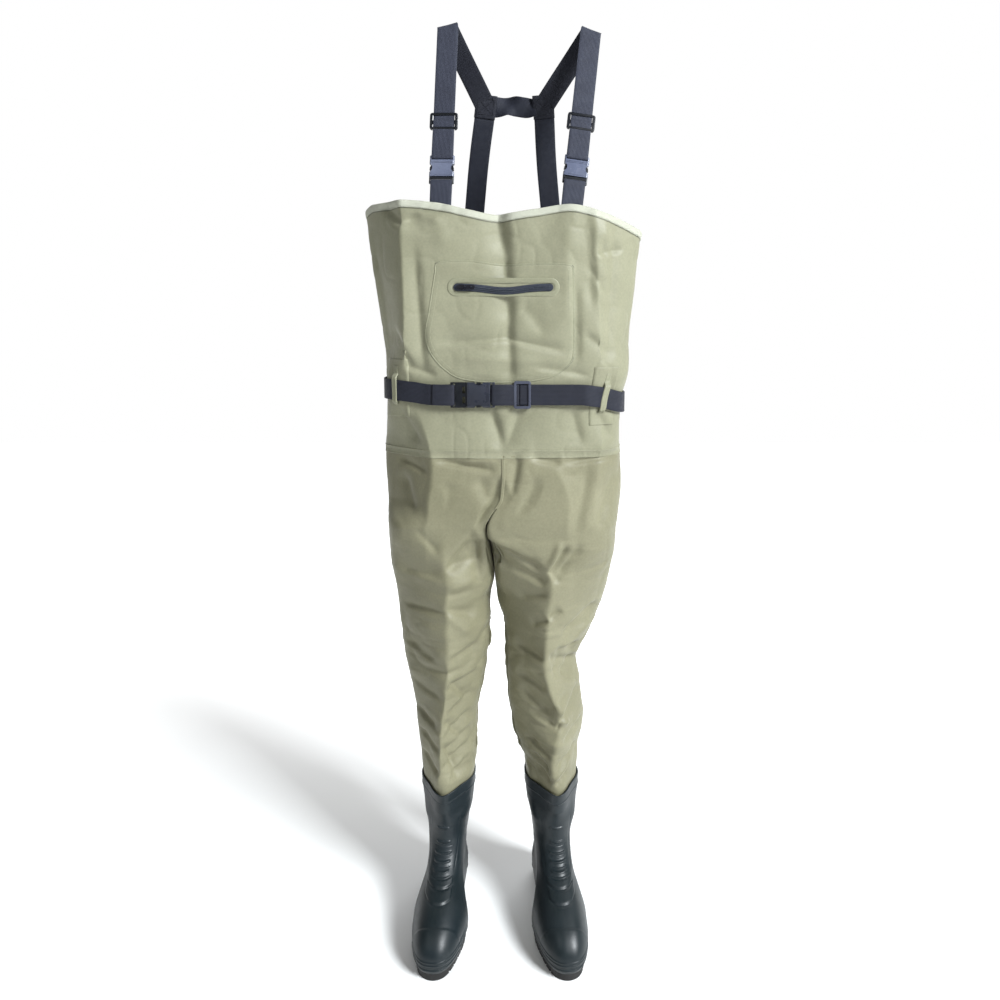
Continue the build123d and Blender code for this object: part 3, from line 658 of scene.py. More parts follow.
# Folds of the legs' fronts, as for the bib
LEG_FOLDS = {
    -1: [
        ((-172, 936), (-132, 905), 9, 6, 0.5), ((-118, 932), (-20, 918), 8, 7, 0.6),
        ((-60, 925), (-18, 930), 7, -4, 0.0), ((-6, 930), (-14, 850), 11, 9, 0.5),
        ((8, 868), (-30, 806), 10, 13, 0.6), ((-34, 800), (-92, 724), 16, 8, 0.5),
        ((-26, 776), (-40, 690), 14, 7, -0.4), ((-182, 827), (-106, 812), 9, 6, 0.6),
        ((-156, 806), (-114, 760), 11, 5, 0.5), ((-188, 716), (-112, 712), 9, 4, 0.5),
        ((-100, 728), (-22, 742), 12, 7, 0.6), ((-99, 690), (-34, 706), 14, -5, 0.3),
        ((-186, 640), (-110, 640), 9, 4, 0.5), ((-100, 650), (-46, 622), 11, 6, 0.5),
        ((-102, 640), (-60, 590), 10, -4, 0.3), ((-180, 560), (-120, 540), 12, 5, 0.5),
        ((-40, 560), (-98, 545), 11, 5, 0.4), ((-44, 500), (-104, 480), 10, 6, 0.5),
        ((-176, 480), (-116, 462), 10, 4, 0.4), ((-96, 500), (-62, 452), 9, 6, 0.5),
        ((-48, 460), (-96, 430), 10, 6, 0.5), ((-172, 420), (-124, 400), 9, 5, 0.5),
        ((-58, 420), (-108, 384), 9, 6, 0.5), ((-106, 420), (-70, 366), 8, 5, 0.5),
        ((-54, 386), (-100, 352), 8, 6, 0.5), ((-160, 376), (-118, 350), 8, 5, 0.4),
        ((-62, 350), (-112, 316), 7, 6, 0.5), ((-106, 368), (-84, 310), 7, 5, 0.5),
        ((-156, 330), (-122, 300), 7, 5, 0.4), ((-60, 322), (-96, 290), 7, 5, 0.5),
        ((-94, 340), (-78, 286), 8, 4, 0.3),
    ],
    1: [
        ((24, 930), (60, 905), 10, 9, 0.5), ((16, 925), (22, 850), 10, 10, 0.5),
        ((10, 880), (28, 800), 9, -6, 0.3), ((40, 900), (52, 820), 16, 9, -0.4),
        ((112, 926), (222, 936), 8, 7, 0.6), ((96, 920), (118, 880), 12, 7, 0.4),
        ((130, 905), (108, 800), 14, -7, 0.3), ((160, 900), (134, 790), 15, 7, 0.4),
        ((212, 900), (176, 830), 14, 6, 0.4), ((-18, 810), (60, 740), 11, -6, 0.4),
        ((-14, 780), (28, 716), 12, 8, 0.5), ((20, 770), (76, 716), 10, 6, 0.5),
        ((124, 770), (96, 720), 8, 9, 0.5), ((112, 780), (92, 724), 8, -5, 0.3),
        ((150, 770), (110, 712), 9, 5, 0.4), ((30, 722), (84, 694), 10, 6, 0.5),
        ((92, 724), (112, 700), 8, 5, 0.4), ((40, 660), (88, 676), 9, 5, 0.4),
        ((60, 610), (92, 624), 7, 6, 0.5), ((92, 626), (116, 640), 7, 6, 0.5),
        ((188, 640), (120, 590), 12, 8, 0.6), ((176, 600), (112, 556), 10, -5, 0.3),
        ((150, 560), (104, 560), 11, 7, 0.4), ((152, 520), (108, 540), 11, 6, 0.4),
        ((96, 560), (110, 506), 10, 6, 0.5), ((150, 530), (120, 500), 14, 9, 0.4),
        ((30, 560), (82, 545), 10, 5, 0.4), ((34, 500), (88, 478), 11, 7, 0.5),
        ((40, 470), (100, 424), 12, 8, 0.6), ((96, 470), (128, 420), 8, -6, 0.3),
        ((128, 440), (110, 400), 7, 8, 0.6), ((160, 470), (130, 430), 10, 6, 0.4),
        ((60, 430), (112, 404), 9, 6, 0.5), ((134, 412), (112, 418), 6, -6, 0.2),
        ((164, 400), (120, 370), 9, 6, 0.5), ((50, 372), (98, 340), 8, 7, 0.5),
        ((152, 352), (110, 322), 7, 7, 0.5), ((62, 340), (98, 308), 7, 7, 0.5),
        ((140, 330), (104, 296), 6, -5, 0.3), ((70, 314), (100, 284), 6, 6, 0.5),
        ((132, 306), (108, 280), 6, 6, 0.5), ((96, 330), (100, 280), 7, -4, 0.3),
    ],
}
CREASES = {
    -1: [(250, 116), (300, 116), (389, 115), (440, 108), (494, 101), (627, 99), (729, 103), (800, 116),
         (879, 126), (945, 122)],
    1: [(250, 101), (317, 101), (370, 108), (418, 117), (450, 108), (484, 94), (627, 90), (717, 92),
        (784, 43), (851, 24), (945, 20)],
}


def middle(z):
    """Where the two legs meet, to the wearer's right of the middle below the crotch."""
    return curve(z, [(560, 0), (600, -4), (631, -9), (673, -10), (700, -11), (740, -16), (785, -23), (812, -23),
                     (835, -12), (855, 1), (880, 5), (950, 5)])


def lean(p):
    """Moves the seam between the legs to the middle line."""
    p = p.copy()
    p[..., 0] += middle(p[..., 2]) * hump(p[..., 0], 0, 45.0)
    return p


def crotch_height(y):
    return curve(y, [(-104, CROTCH_FRONT), (-70, 806), (-25, 788), (20, 790), (60, 812), (104, CROTCH_BACK)])


def make_trouser(side):
    outer_n, inner_n, top_rows, low_rows = 150, 62, 40, 190
    if side > 0:
        theta = even_angles(outer_n, 900, -np.pi / 2, np.pi / 2)
    else:
        theta = even_angles(outer_n, 900, -3 * np.pi / 2, -np.pi / 2)[::-1]
    spread = 0.95
    x0, y0 = body_at(theta, 860)
    share = np.linspace(0, 1, outer_n)
    beside = smooth(np.abs(x0), 0, 90)
    level = np.where(y0 < 0, CROTCH_FRONT - 20 * beside, CROTCH_BACK - 40 * beside)
    z_top = SEAM + (level[None] - SEAM) * np.linspace(0, 1, top_rows)[:, None]
    upper = body_surface(theta[None], z_top)

    # Ring angle: 0 in front, a quarter turn at the outer side, half a turn behind.
    turn = np.concatenate([-spread + (np.pi + 2 * spread) * share,
                           np.linspace(np.pi + spread, 2 * np.pi - spread, inner_n + 2)[1:-1]])
    edge = upper[-1]
    yb, yf = edge[-1, 1], edge[0, 1]
    t = np.linspace(0, 1, inner_n + 2)[1:-1]
    yc = yb + (yf - yb) * t
    crotch = stack(np.full(inner_n, side * 0.9), yc, crotch_height(yc))
    start = np.concatenate([edge, crotch])
    rows = np.linspace(0, 1, low_rows + 1)[1:, None]
    z = start[None, :, 2] + (HEM - start[None, :, 2]) * rows
    table = LEG_WIDTHS[side]
    out = curve(z, [(a, b) for a, b, _ in table])
    inn = curve(z, [(a, c) for a, _, c in table])
    front = curve(z, [(250, -70), (268, -74), (300, -78.5), (330, -80), (420, -83), (529, -86), (620, -91),
                      (716, -97), (860, -101)])
    behind = curve(z, [(250, 70), (268, 74), (300, 78.5), (330, 82), (420, 87), (529, 88), (620, 94),
                       (716, 101), (860, 103)])
    c, s = np.cos(turn)[None], np.sin(turn)[None]
    power = 0.92
    rx = side * (out + inn) / 2 + side * (out - inn) / 2 * np.sign(s) * np.abs(s) ** power
    ry = (front + behind) / 2 - (behind - front) / 2 * np.sign(c) * np.abs(c) ** power
    # The front is pressed to a crease, with a flat plane on each side of it.
    at = curve(z, CREASES[side])
    off = np.clip((side * rx - at) / np.where(side * rx > at, out - at, at - inn), -1, 1)
    plane = front * (1 - np.abs(off) ** 1.1)
    press = 0.62 * smooth(-ry, 0, 12)
    ry = np.where((ry < plane) & (ry < 0), ry * (1 - press) + plane * press, ry)
    # Its end follows the boot's rim from inside.
    rim = prow(turn[None], 1.0)
    lx = -(46.0 + 0.147 * (z - 235)) * s * rim
    ly = 1.5 - (67.4 + 0.176 * (z - 235)) * c * rim
    hx = side * (BOOT_X - lx * np.cos(TOE_OUT) - ly * np.sin(TOE_OUT))
    hy = -lx * np.sin(TOE_OUT) + ly * np.cos(TOE_OUT)
    into = 1 - smooth(z, 266, 335)
    rx, ry = rx * (1 - into) + hx * into, ry * (1 - into) + hy * into
    ring = stack(rx, ry, z)
    # Above the knee the cloth changes from the body's outline to the leg's.
    body = body_surface(np.broadcast_to(theta, (low_rows, outer_n)), np.maximum(z[:, :outer_n], 790))
    body[..., 2] = z[:, :outer_n]
    inner = np.broadcast_to(crotch, (low_rows, inner_n, 3)).copy()
    inner[..., 2] = z[:, outer_n:]
    first = np.concatenate([body, inner], 1)
    below = rows * (800 - 262)  # about how far each row lies below the body's part
    w = smooth(below, 0, 190) * np.ones_like(z)
    w[:, outer_n:] = smooth(below, 0, 130)
    lower = first * (1 - w[..., None]) + ring * w[..., None]

    n = grid_normals(np.concatenate([start[None], lower]), True)[1:] * -side
    q = stack(lower[..., 0], z)
    push = np.zeros_like(z)
    facing = smooth(-lower[..., 1], -25, 25)
    for a, b, width, depth, skew in LEG_FOLDS[side]:
        push -= facing * fold(q, a, b, width * 1.15, depth * 1.3, np.clip(skew * 1.5, -0.8, 0.8))
    # Behind, the same kinds of folds lie mirrored and lower.
    q2 = stack(side * (205 - np.abs(lower[..., 0])), z + 26)
    for a, b, width, depth, skew in LEG_FOLDS[side][3:]:
        push -= (1 - facing) * fold(q2, a, b, width * 1.15, depth * 0.9, -skew)
    arc = stack(c * 55 + 0 * z, s * 55 + 0 * z, z)
    # How much the cloth bunches: at the knee, over the boot and at the thigh
    bunch = hump(z, 545, 75.0) + 0.9 * hump(z, 345, 80.0) + 0.6 * hump(z, 760, 80.0)
    warp = noise(arc, 1 / 70.0, 40 + side)
    lines = noise(arc * (0.55, 0.55, 1.5) + warp[..., None] * 22, 1 / 26.0, 44 + side)
    sharp = np.maximum(1 - np.abs(lines) * 2.4, 0) ** 2
    crumple = np.abs(noise(arc * (0.8, 0.8, 1.1) + warp[..., None] * 16, 1 / 60.0, 60 + side))
    crumple += 0.4 * np.abs(noise(arc * (0.9, 0.9, 1.3) + warp[..., None] * 20, 1 / 31.0, 63 + side))
    detail = lines * (0.3 + 0.7 * bunch) - sharp * (0.3 + 1.0 * bunch) + (crumple - 0.35) * (3.2 + 5.5 * bunch)
    # The outlines at the sides stay straighter than the front and the back.
    push = push + detail * (0.22 + 0.78 * smooth(np.abs(n[..., 1]), 0.25, 0.7))
    push += noise(arc, 1 / 95.0, 50 + side) * 3.0 + noise(arc, 1 / 11.0, 51 + side) * 0.3
    near_hem = smooth(z, 262, 292) * 0.95 + 0.05
    near_top = smooth(below, 0, 70)
    push = np.clip(push * near_hem * near_top, -16, 11)
    lower = lower + n * push[..., None]
    # The two legs hang side by side and never cross the middle.
    touch = hump(lower[..., 1], 0, 48.0, 4) * smooth(z, 650, 690)
    touch[:, :outer_n] *= smooth(np.abs(turn[:outer_n] - np.pi / 2), 1.9, 2.2)
    lower[..., 0] += (side * 0.25 - lower[..., 0]) * touch
    lower[..., 0] = np.where(side * lower[..., 0] < 0.25, side * 0.25, lower[..., 0])

    verts = lean(np.concatenate([upper[:-1].reshape(-1, 3), start, lower.reshape(-1, 3)]))
    total = outer_n + inner_n
    flip = side > 0  # the rows run downwards
    base = (top_rows - 1) * outer_n
    # The last row of the upper part is the first of the leg's, which has the inner side's points as well.
    faces = grid_faces(top_rows, outer_n, flip=flip).tolist()
    faces += grid_faces(low_rows + 1, total, wrap=True, offset=base, flip=flip).tolist()
    u = np.concatenate([np.tile(share * 0.36, (top_rows - 1, 1)).reshape(-1),
                        np.tile(np.linspace(0, 0.6, total), (low_rows + 1, 1)).reshape(-1)])
    uv = stack(u, verts[:, 2] / 1000)
    leg = mesh(f"{SIDES[side]}_trouser_leg", verts, faces, uv)
    thicken(leg)
    return leg


def centre_seam():
    """The raised seam down the front and back from the waist to the crotch."""
    parts = []
    for front in (True, False):
        theta = -np.pi / 2 if front else np.pi / 2
        zs = np.linspace(SEAM - 8, CROTCH_FRONT if front else CROTCH_BACK, 46)
        base = body_surface(np.full_like(zs, theta), zs)
        out = np.array([0, -1.0 if front else 1.0, 0])
        section = [(-3.4, -1.2), (-3.0, 0.5), (-1.2, 0.9), (0, 0.3), (1.2, 0.9), (3.0, 0.5), (3.4, -1.2)]
        rows = [lean(base + (u, 0, 0) + out * (lift * 0.7 + 0.8)) for u, lift in section]
        uv = stack(np.linspace(0, 0.007, len(section))[:, None], zs / 1000)
        parts.append(grid_mesh("seam_part", rows, uv, flip=front))
    return join("centre_seam", parts)


# ------------------------------------------------------------------ pocket and zip on the bib
FLAT_TAPE = [(-0.5, -0.7), (-0.485, 0.5), (-0.43, 1.0), (-0.37, 1.0), (-0.3, 0.55), (0.0, 0.5),
             (0.3, 0.55), (0.37, 1.0), (0.43, 1.0), (0.485, 0.5), (0.5, -0.7)]


def surface_strip(name, tree, line, width, height, section=FLAT_TAPE):
    """A thin closed tape welded to the cloth along line, (x, z) points, with a raised bead along each edge."""
    pts, s = resample(np.array(line, float), 2.5, closed=True)
    tangent = np.gradient(pts, axis=0)
    tangent[0] = tangent[-1] = pts[1] - pts[-2]
    side = unit(stack(-tangent[:, 1], tangent[:, 0]))
    rows = [[on_cloth(tree, *(point + across * u * width), up * height if up > 0 else up)
             for u, up in section] for point, across in zip(pts, side)]
    uv = [[((u + 0.5) * width / 1000, run / 1000) for u, _ in section] for run in s]
    return grid_mesh(name, rows, uv, flip=True)


POCKET_OUTLINE = np.array([
    (-106, 1281), (-60, 1284), (6, 1277), (70, 1279), (118, 1277), (125, 1266), (127, 1200), (128, 1140),
    (124, 1112), (98, 1090), (60, 1080), (6, 1077), (-50, 1080), (-84, 1090), (-116, 1120), (-129, 1156),
    (-122, 1200), (-111, 1266),
], float)
POCKET_CENTRE = np.array([-2.0, 1180.0])


def pocket_line(grow):
    """The pocket's outline, made larger by grow mm."""
    d = POCKET_OUTLINE - POCKET_CENTRE
    return POCKET_CENTRE + d * (1 + grow / np.hypot(*(np.abs(d).max(0))))


def make_pocket(tree):
    edge, _ = resample(pocket_line(4), 6.0, closed=True)
    edge = edge[:-1]
    shares = np.concatenate([[1.006, 1.0, 0.985], np.linspace(0.95, 0.03, 34)])
    lifts = [-0.8, 0.35, 0.7] + [0.75] * 34
    flat = POCKET_CENTRE + (edge - POCKET_CENTRE) * shares[:, None, None]
    rings = [[on_cloth(tree, x, z, lift) for x, z in ring] for ring, lift in zip(flat, lifts)]
    return grid_mesh("chest_pocket", rings, flat / 1000, wrap=True, rings=(-1,))


def zip_halo(tree):
    """The welded frame round the zip, a smooth raised oval."""
    a = np.linspace(0, 2 * np.pi, 60, endpoint=False)
    half, r = 90.5, 7.0
    rows, uvs = [], []
    for grow, lift in ((9.5, -0.6), (9.0, 1.2), (7.6, 1.55), (3.0, 1.5), (0.6, 1.5), (-0.4, 0.6)):
        x = 6 + np.sign(np.cos(a)) * (half - r) + (r + grow) * np.cos(a)
        z = ZIP_Z + zip_dip(x) + (r + grow) * np.sin(a)
        rows.append([on_cloth(tree, xi, zi, lift) for xi, zi in zip(x, z)])
        uvs.append(stack(x, z) / 1000)
    return grid_mesh("zip_weld", rows, np.array(uvs), wrap=True)


# ------------------------------------------------------------------ belt
BELT_OFF = 3.9  # from the cloth to the middle of the webbing


def belt_line(theta):
    """The belt's centre line round the body."""
    x, y = body_at(theta, BELT_Z)
    p = stack(x, y, belt_height(x, y))
    p[..., :2] += outwards(theta, BELT_Z, x, y) * BELT_OFF
    # It runs straight where its slider travels.
    straight = (p[..., 1] < 0) * (p[..., 0] > 0) * (1 - smooth(p[..., 0], 150, 182))
    p[..., 1] = np.where(p[..., 1] < -97.0, BELT_FACE, p[..., 1] * (1 - straight) + BELT_FACE * straight)
    return p


def make_belt():
    theta = even_angles(320, BELT_Z, -np.pi / 2, 3 * np.pi / 2)
    p = belt_line(theta)
    front = np.sin(theta) < 0
    keep = ~(front & (theta < 0) & (p[:, 0] < 34)) & ~(front & (theta > 0) & (p[:, 0] > -190))
    near = p[front & (theta > 0) & (p[:, 0] > -196) & (p[:, 0] < -150)][::3]
    # x, y and height over the belt's line of the webbing round the insert's and the receiver's bars
    insert = [(-138, (near[-1, 1] + BELT_FACE) / 2, 1.5), (-125, -98.2, 0.4), (-111, -96.9, 0), (-97, -96.3, 0),
              (-87, -96.3, 0), (-82.7, -97.9, 0), (-82.4, -102.2, 0), (-87, -103.8, 0), (-97, -103.8, 0),
              (-110, -102.4, 0), (-122, -100.6, 0.4)]
    doubled = [(36, -98.0, 0), (26, -97.7, 0), (14, -96.7, 0), (2, -96.3, 0), (-7, -96.3, 0), (-14.3, -97.1, 0),
               (-15.7, -100.1, 0), (-14.3, -103.1, 0), (-7, -103.8, 0), (2, -103.6, 0), (13, -102.3, 0),
               (24, -100.7, 0), (34, -99.8, 0)]
    parts = []
    for name, path, step, waver in (("belt", p[keep][::2], 3.0, 0.25),
                                    ("belt_insert_webbing", [*near, *np.add(insert, (0, 0, BELT_Z))], 2.0, 0.0),
                                    ("belt_adjuster_webbing", np.add(doubled, (0, 0, BELT_Z)), 2.0, 0.0)):
        upright = np.tile([0.0, 0.0, 1.0], (len(path), 1))
        parts.append(ribbon(name, np.array(path, float), upright, WEB, 1.8, step, waver=waver))
    return parts


def belt_loop(side):
    """A cloth loop over the belt and the patch it is welded to."""
    centre = even_angles(2001, BELT_Z, -np.pi / 2, np.pi / 2 if side > 0 else -3 * np.pi / 2)
    x, _ = body_at(centre, BELT_Z)
    at = centre[np.argmin(np.abs(x - side * 190))]
    x, y = body_at(np.array([at, at + 1e-3]), BELT_Z)
    per_mm = 1e-3 / np.hypot(x[1] - x[0], y[1] - y[0])

    def panel(name, half, low, high, lift, skirt, lean=0.0):
        us = np.concatenate([[-half - 0.4], np.linspace(-half, half, 13), [half + 0.4]])
        zs = np.concatenate([[low - 0.4], np.linspace(low, high, 50), [high + 0.4]])
        u, z = np.meshgrid(us, zs)
        theta = at + (u + lean * (z - BELT_Z)) * per_mm
        p = body_surface(theta, z)
        rim = (np.abs(u) > half) | (z < low) | (z > high)
        up = np.where(rim, skirt(z), lift(z))
        bead = 0.5 * hump(np.abs(u), half - 2.0, 0.9)
        p = p + grid_normals(p, False) * (up + bead * ~rim)[..., None]
        return grid_mesh(name, p, stack(u, z) / 1000)

    height = belt_height(*body_at(at, BELT_Z))

    def over(z):
        """Lies on the cloth at its ends and stands out over the belt."""
        return 1.3 + 6.3 * between(z - height, -28, -20, 21, 31)

    lean = 0.10 if side > 0 else 0.0
    half = 5.6 if side > 0 else 4.6
    loop = panel(f"{SIDES[side]}_loop", half, height - 27, height + 44, over,
                 lambda z: np.maximum(over(z) - 2.2, -0.6), lean)
    patch = panel(f"{SIDES[side]}_loop_patch", 24, height - 50, height + 56,
                  lambda z: 0.8 + 0 * z, lambda z: -0.6 + 0 * z)
    return loop, patch


# ------------------------------------------------------------------ harness
JOINTS = {j["name"]: j for j in frame["joints"]}
HARNESS = {
    "right": dict(side=-1, seat=(-94, 0, 1709), slope=14.0, yoke=(-27, 37, 1584), back=(-63, 88, 1300),
                  tab=(-105, -88, 1379)),
    "left": dict(side=1, seat=(164, 0, 1701), slope=20.0, yoke=(82, 37, 1584), back=(107, 88, 1300),
                 tab=(126, -88, 1379)),
}


def strap_frame(name):
    """Origin at the bib's edge, across, back and up directions of a front strap, from its buckle's joints."""
    a, b = (JOINTS[f"{name}_{w}_prong_flex"]["pos_m"] for w in ("outer", "inner"))
    a, b = (np.array(v) * 1000 + (0, 0, HANG) for v in (a, b))
    up = unit(JOINTS[f"{name}_buckle"]["axis"])
    across = unit(a - b if a[0] > b[0] else b - a)
    return (a + b) / 2 - up * 59.4, across, np.cross(up, across), up


def make_harness(name):
    spec = HARNESS[name]
    origin, across, back, up = strap_frame(name)

    def at(along, out=0.0):
        return origin + up * along + back * out

    def flat(label, points, turn=None, waver=0.0, step=2.0):
        side = np.tile(across, (len(points), 1)) if turn is None else np.array(turn)
        return ribbon(f"{name}_{label}", np.array(points), side, 38.0, 1.8, step, waver=waver)

    # The tab: sewn behind the bib, round the insert's bar and back down.
    x0, _, z0 = spec["tab"]
    tab_up = [(x0, -89.4, z0 - 46), (x0, -89.6, z0 - 20), (x0, -89.6, z0 - 4)]
    tab_down = [(x0, -86.8, z0 - 6), (x0, -86.4, z0 - 24), (x0, -86.6, z0 - 44)]
    round_bar = [(8, -1.6), (22, -3.0), (38, -3.7), (47, -3.8), (51.0, -2.3), (51.8, 0), (51.0, 2.3), (47, 3.8),
                 (38, 3.7), (22, 2.6), (8, 1.3)]
    tab = flat("tab", tab_up + [at(*spot) for spot in round_bar] + tab_down)
    round_bar = [(163, 0.9), (150, 1.3), (132, 3.0), (112, 3.7), (96, 3.8), (91.2, 2.4), (90.4, 0),
                 (91.2, -2.4), (96, -3.8), (112, -3.7), (132, -3.0), (149, -1.5), (163, -0.9)]
    doubled = flat("adjuster", [at(*spot) for spot in round_bar])

    # Over the hanger: up the front, round the seat and down to the yoke.
    seat = np.array(spec["seat"], float)
    tilt = np.radians(spec["slope"])
    axis = np.array([-spec["side"] * np.cos(tilt), 0, np.sin(tilt)])
    rise = np.array([spec["side"] * axis[2], 0, abs(axis[0])])
    radius = 6.0 + 0.95
    yoke = np.array(spec["yoke"], float)

    def touch(point, facing):
        """The angle where the strap leaves the hanger towards point."""
        offset = np.array(point, float) - seat
        y, h = offset[1] * facing, offset @ rise
        return np.arctan2(y, -h) - np.arcsin(radius / np.hypot(y, h))

    lean_front, lean_back = touch(spec["tab"], -1), touch(spec["yoke"], 1)
    arc, arc_side = [], []
    for a in np.linspace(lean_front, np.pi - lean_back, 9):
        arc.append(seat + np.array([0, -1, 0]) * radius * np.cos(a) + rise * radius * np.sin(a))
        arc_side.append(axis * (1 if axis[0] > 0 else -1))
    front_top = arc[0]
    rear_dir = unit(yoke - arc[-1])
    rear_side = unit(np.cross(rear_dir, np.cross(axis, rear_dir)))
    rear_side = rear_side * np.sign(rear_side[0])
    down = np.linalg.norm(yoke - arc[-1])
    path, sides = [], []
    for along in (158, 180, 205, 230, 255, 275, 288, 303, 318):
        share = max(0.0, (along - 286) / 32)
        target = at(158) + (front_top - at(158)) * ((along - 158) / np.linalg.norm(front_top - at(158)))
        path.append(target)
        sides.append(unit(across * (1 - share * 0.75) + arc_side[0] * share * 0.75))
    path += arc
    sides += arc_side
    for k in (0.16, 0.34, 0.52, 0.7, 0.86):
        twist = 0.16 * np.sin(k * np.pi) * spec["side"]
        path.append(arc[-1] + rear_dir * down * k + np.array([0, 1.8 * np.sin(k * 6), 0]))
        sides.append(unit(arc_side[0] * (1 - k) * 0.6 + rear_side * (0.4 + 0.6 * k) + np.array([0, twist, 0])))
    end = yoke - rear_dir * 8
    path.append(end)
    sides.append(rear_side)
    # The strap is split at the top of the hanger so that its rear run can take the painted shade of the dark
    # webbing.
    top = 9 + len(arc) // 2
    strap = flat("strap", path[:top + 1], sides[:top + 1], 0.5, 2.5)
    rear = flat("strap_rear", path[top:], sides[top:], 0.5, 2.5)

    # Yoke patch, elastic and the tab that holds it inside the back of the bib.
    foot = np.array(spec["back"], float)
    rise_dir = unit(yoke - foot)
    level = unit(np.array([1.0, 0, 0]) - rise_dir * rise_dir[0])
    patch = ribbon(f"{name}_yoke_patch", np.array([yoke + rise_dir * h for h in (-21, -10, 0, 10, 21)]),
                   np.tile(level, (5, 1)), 40, 4.6, 2.0, 1.6, waver=0.35)
    length = np.linalg.norm(yoke - foot)
    lines = [foot + rise_dir * (length * k) + np.array([1.2 * np.sin(k * 7), 1.5 * np.sin(k * 5), 0]) for k in
             (0.02, 0.15, 0.3, 0.45, 0.6, 0.75, 0.9)] + [yoke - rise_dir * 16]
    elastic = ribbon(f"{name}_elastic", np.array(lines), np.tile(level, (len(lines), 1)), 38, 1.4, 2.5, 0.5,
                     waver=0.4)
    sewn = ribbon(f"{name}_back_sewn", np.array([(foot[0], 90.4, foot[2] - 53), (foot[0], 90.2, foot[2] - 30),
                                                 (foot[0], 89.6, foot[2] - 8), (foot[0], 88.2, foot[2] + 4)]),
                  np.tile([1.0, 0, 0], (4, 1)), 38, 1.6, 2.5, 0.6)
    # Its stitches, a box with a cross: middle and direction of each line, half its length, count, stitch
    box = (((0, 14), (1, 0), 15, 12, 1.9), ((0, -14), (1, 0), 15, 12, 1.9),
           ((-15, 0), (0, 1), 13.95, 12, 1.8), ((15, 0), (0, 1), 13.95, 12, 1.8),
           ((0, 0), (1, 0.95), 14, 14, 1.4), ((0, 0), (1, -0.95), 14, 14, 1.4))
    pairs = []
    for (u, v), (du, dv), reach, count, stitch in box:
        for run in np.linspace(-reach, reach, count)[:-1]:
            for face in (-1, 1):
                c = yoke + np.cross(level, rise_dir) * 2.75 * face
                pairs.append([c + level * (u + du * k) + rise_dir * (v + dv * k) for k in (run, run + stitch)])
    thread = thread_mesh(f"{name}_yoke_stitching", pairs, 0.42)
    return dict(tab=tab, doubled=doubled, strap=strap, rear=rear, patch=patch, elastic=elastic, sewn=sewn,
                thread=thread, at=at)


def thread_mesh(name, pairs, radius):
    """Short stitches as rounded rods between pairs of points."""
    verts, faces = [], []
    for a, b in pairs:
        t = unit(b - a)
        s = unit(np.cross(t, (0.3, 0.5, 0.8)))
        u = np.cross(t, s)
        base = len(verts)
        for point, r in ((a - t * 0.2, 0.5), (a, 1.0), (b, 1.0), (b + t * 0.2, 0.5)):
            for k in range(6):
                ang = k * np.pi / 3
                verts.append(point + (s * np.cos(ang) + u * np.sin(ang)) * radius * r)
        faces += grid_faces(4, 6, wrap=True, offset=base).tolist()
        faces.append([base + k for k in range(6)][::-1])
        faces.append([base + 18 + k for k in range(6)])
    verts = np.array(verts)
    return mesh(name, verts, faces, verts[:, [0, 2]] / 1000)


def cross_strap():
    a, b = (np.array(HARNESS[n]["yoke"], float) for n in ("right", "left"))
    xs = np.linspace(a[0] + 14, b[0] - 14, 14)
    pts = [(x, 37 + 1.6 * np.sin(x / 7.0) * np.sin((x - a[0]) / 40), 1584 + 1.5 * np.sin(x / 11.0)) for x in xs]
    side = [unit((0.05 * np.sin(x / 9.0), 0.34 * np.sin(x / 8.5), 1)) for x in xs]
    return ribbon("cross_strap", np.array(pts), np.array(side), 36, 1.8, 1.5, waver=0.9)


# ------------------------------------------------------------------ boots
# Height, toe, heel, half width, share of foot shape, pointedness of the front of the shaft
BOOT_ROWS = [
    (15.5, -220, 80, 50.5, 1.0, 0), (22, -223.5, 82.0, 53.5, 1.0, 0), (32, -223.5, 82.5, 55.0, 1.0, 0),
    (46, -219.5, 82.5, 54.5, 1.0, 0), (58, -211, 81.5, 52.0, 0.98, 0), (70, -197, 80, 48.0, 0.92, 0),
    (82, -174, 78.5, 43.5, 0.78, 0), (92, -150, 76.5, 39.5, 0.60, 0.0), (104, -122, 74.5, 36.5, 0.40, 0.05),
    (118, -98, 72, 35.0, 0.22, 0.1), (136, -77, 69.5, 35.5, 0.08, 0.12), (155, -66, 68.5, 37.0, 0.0, 0.2),
    (180, -64.5, 69, 41.0, 0.0, 0.35), (205, -67, 71, 47.5, 0.0, 0.5), (232, -71, 74, 52.0, 0.0, 0.8),
    (269, -77, 77.5, 54.5, 0.0, 1.0),
]


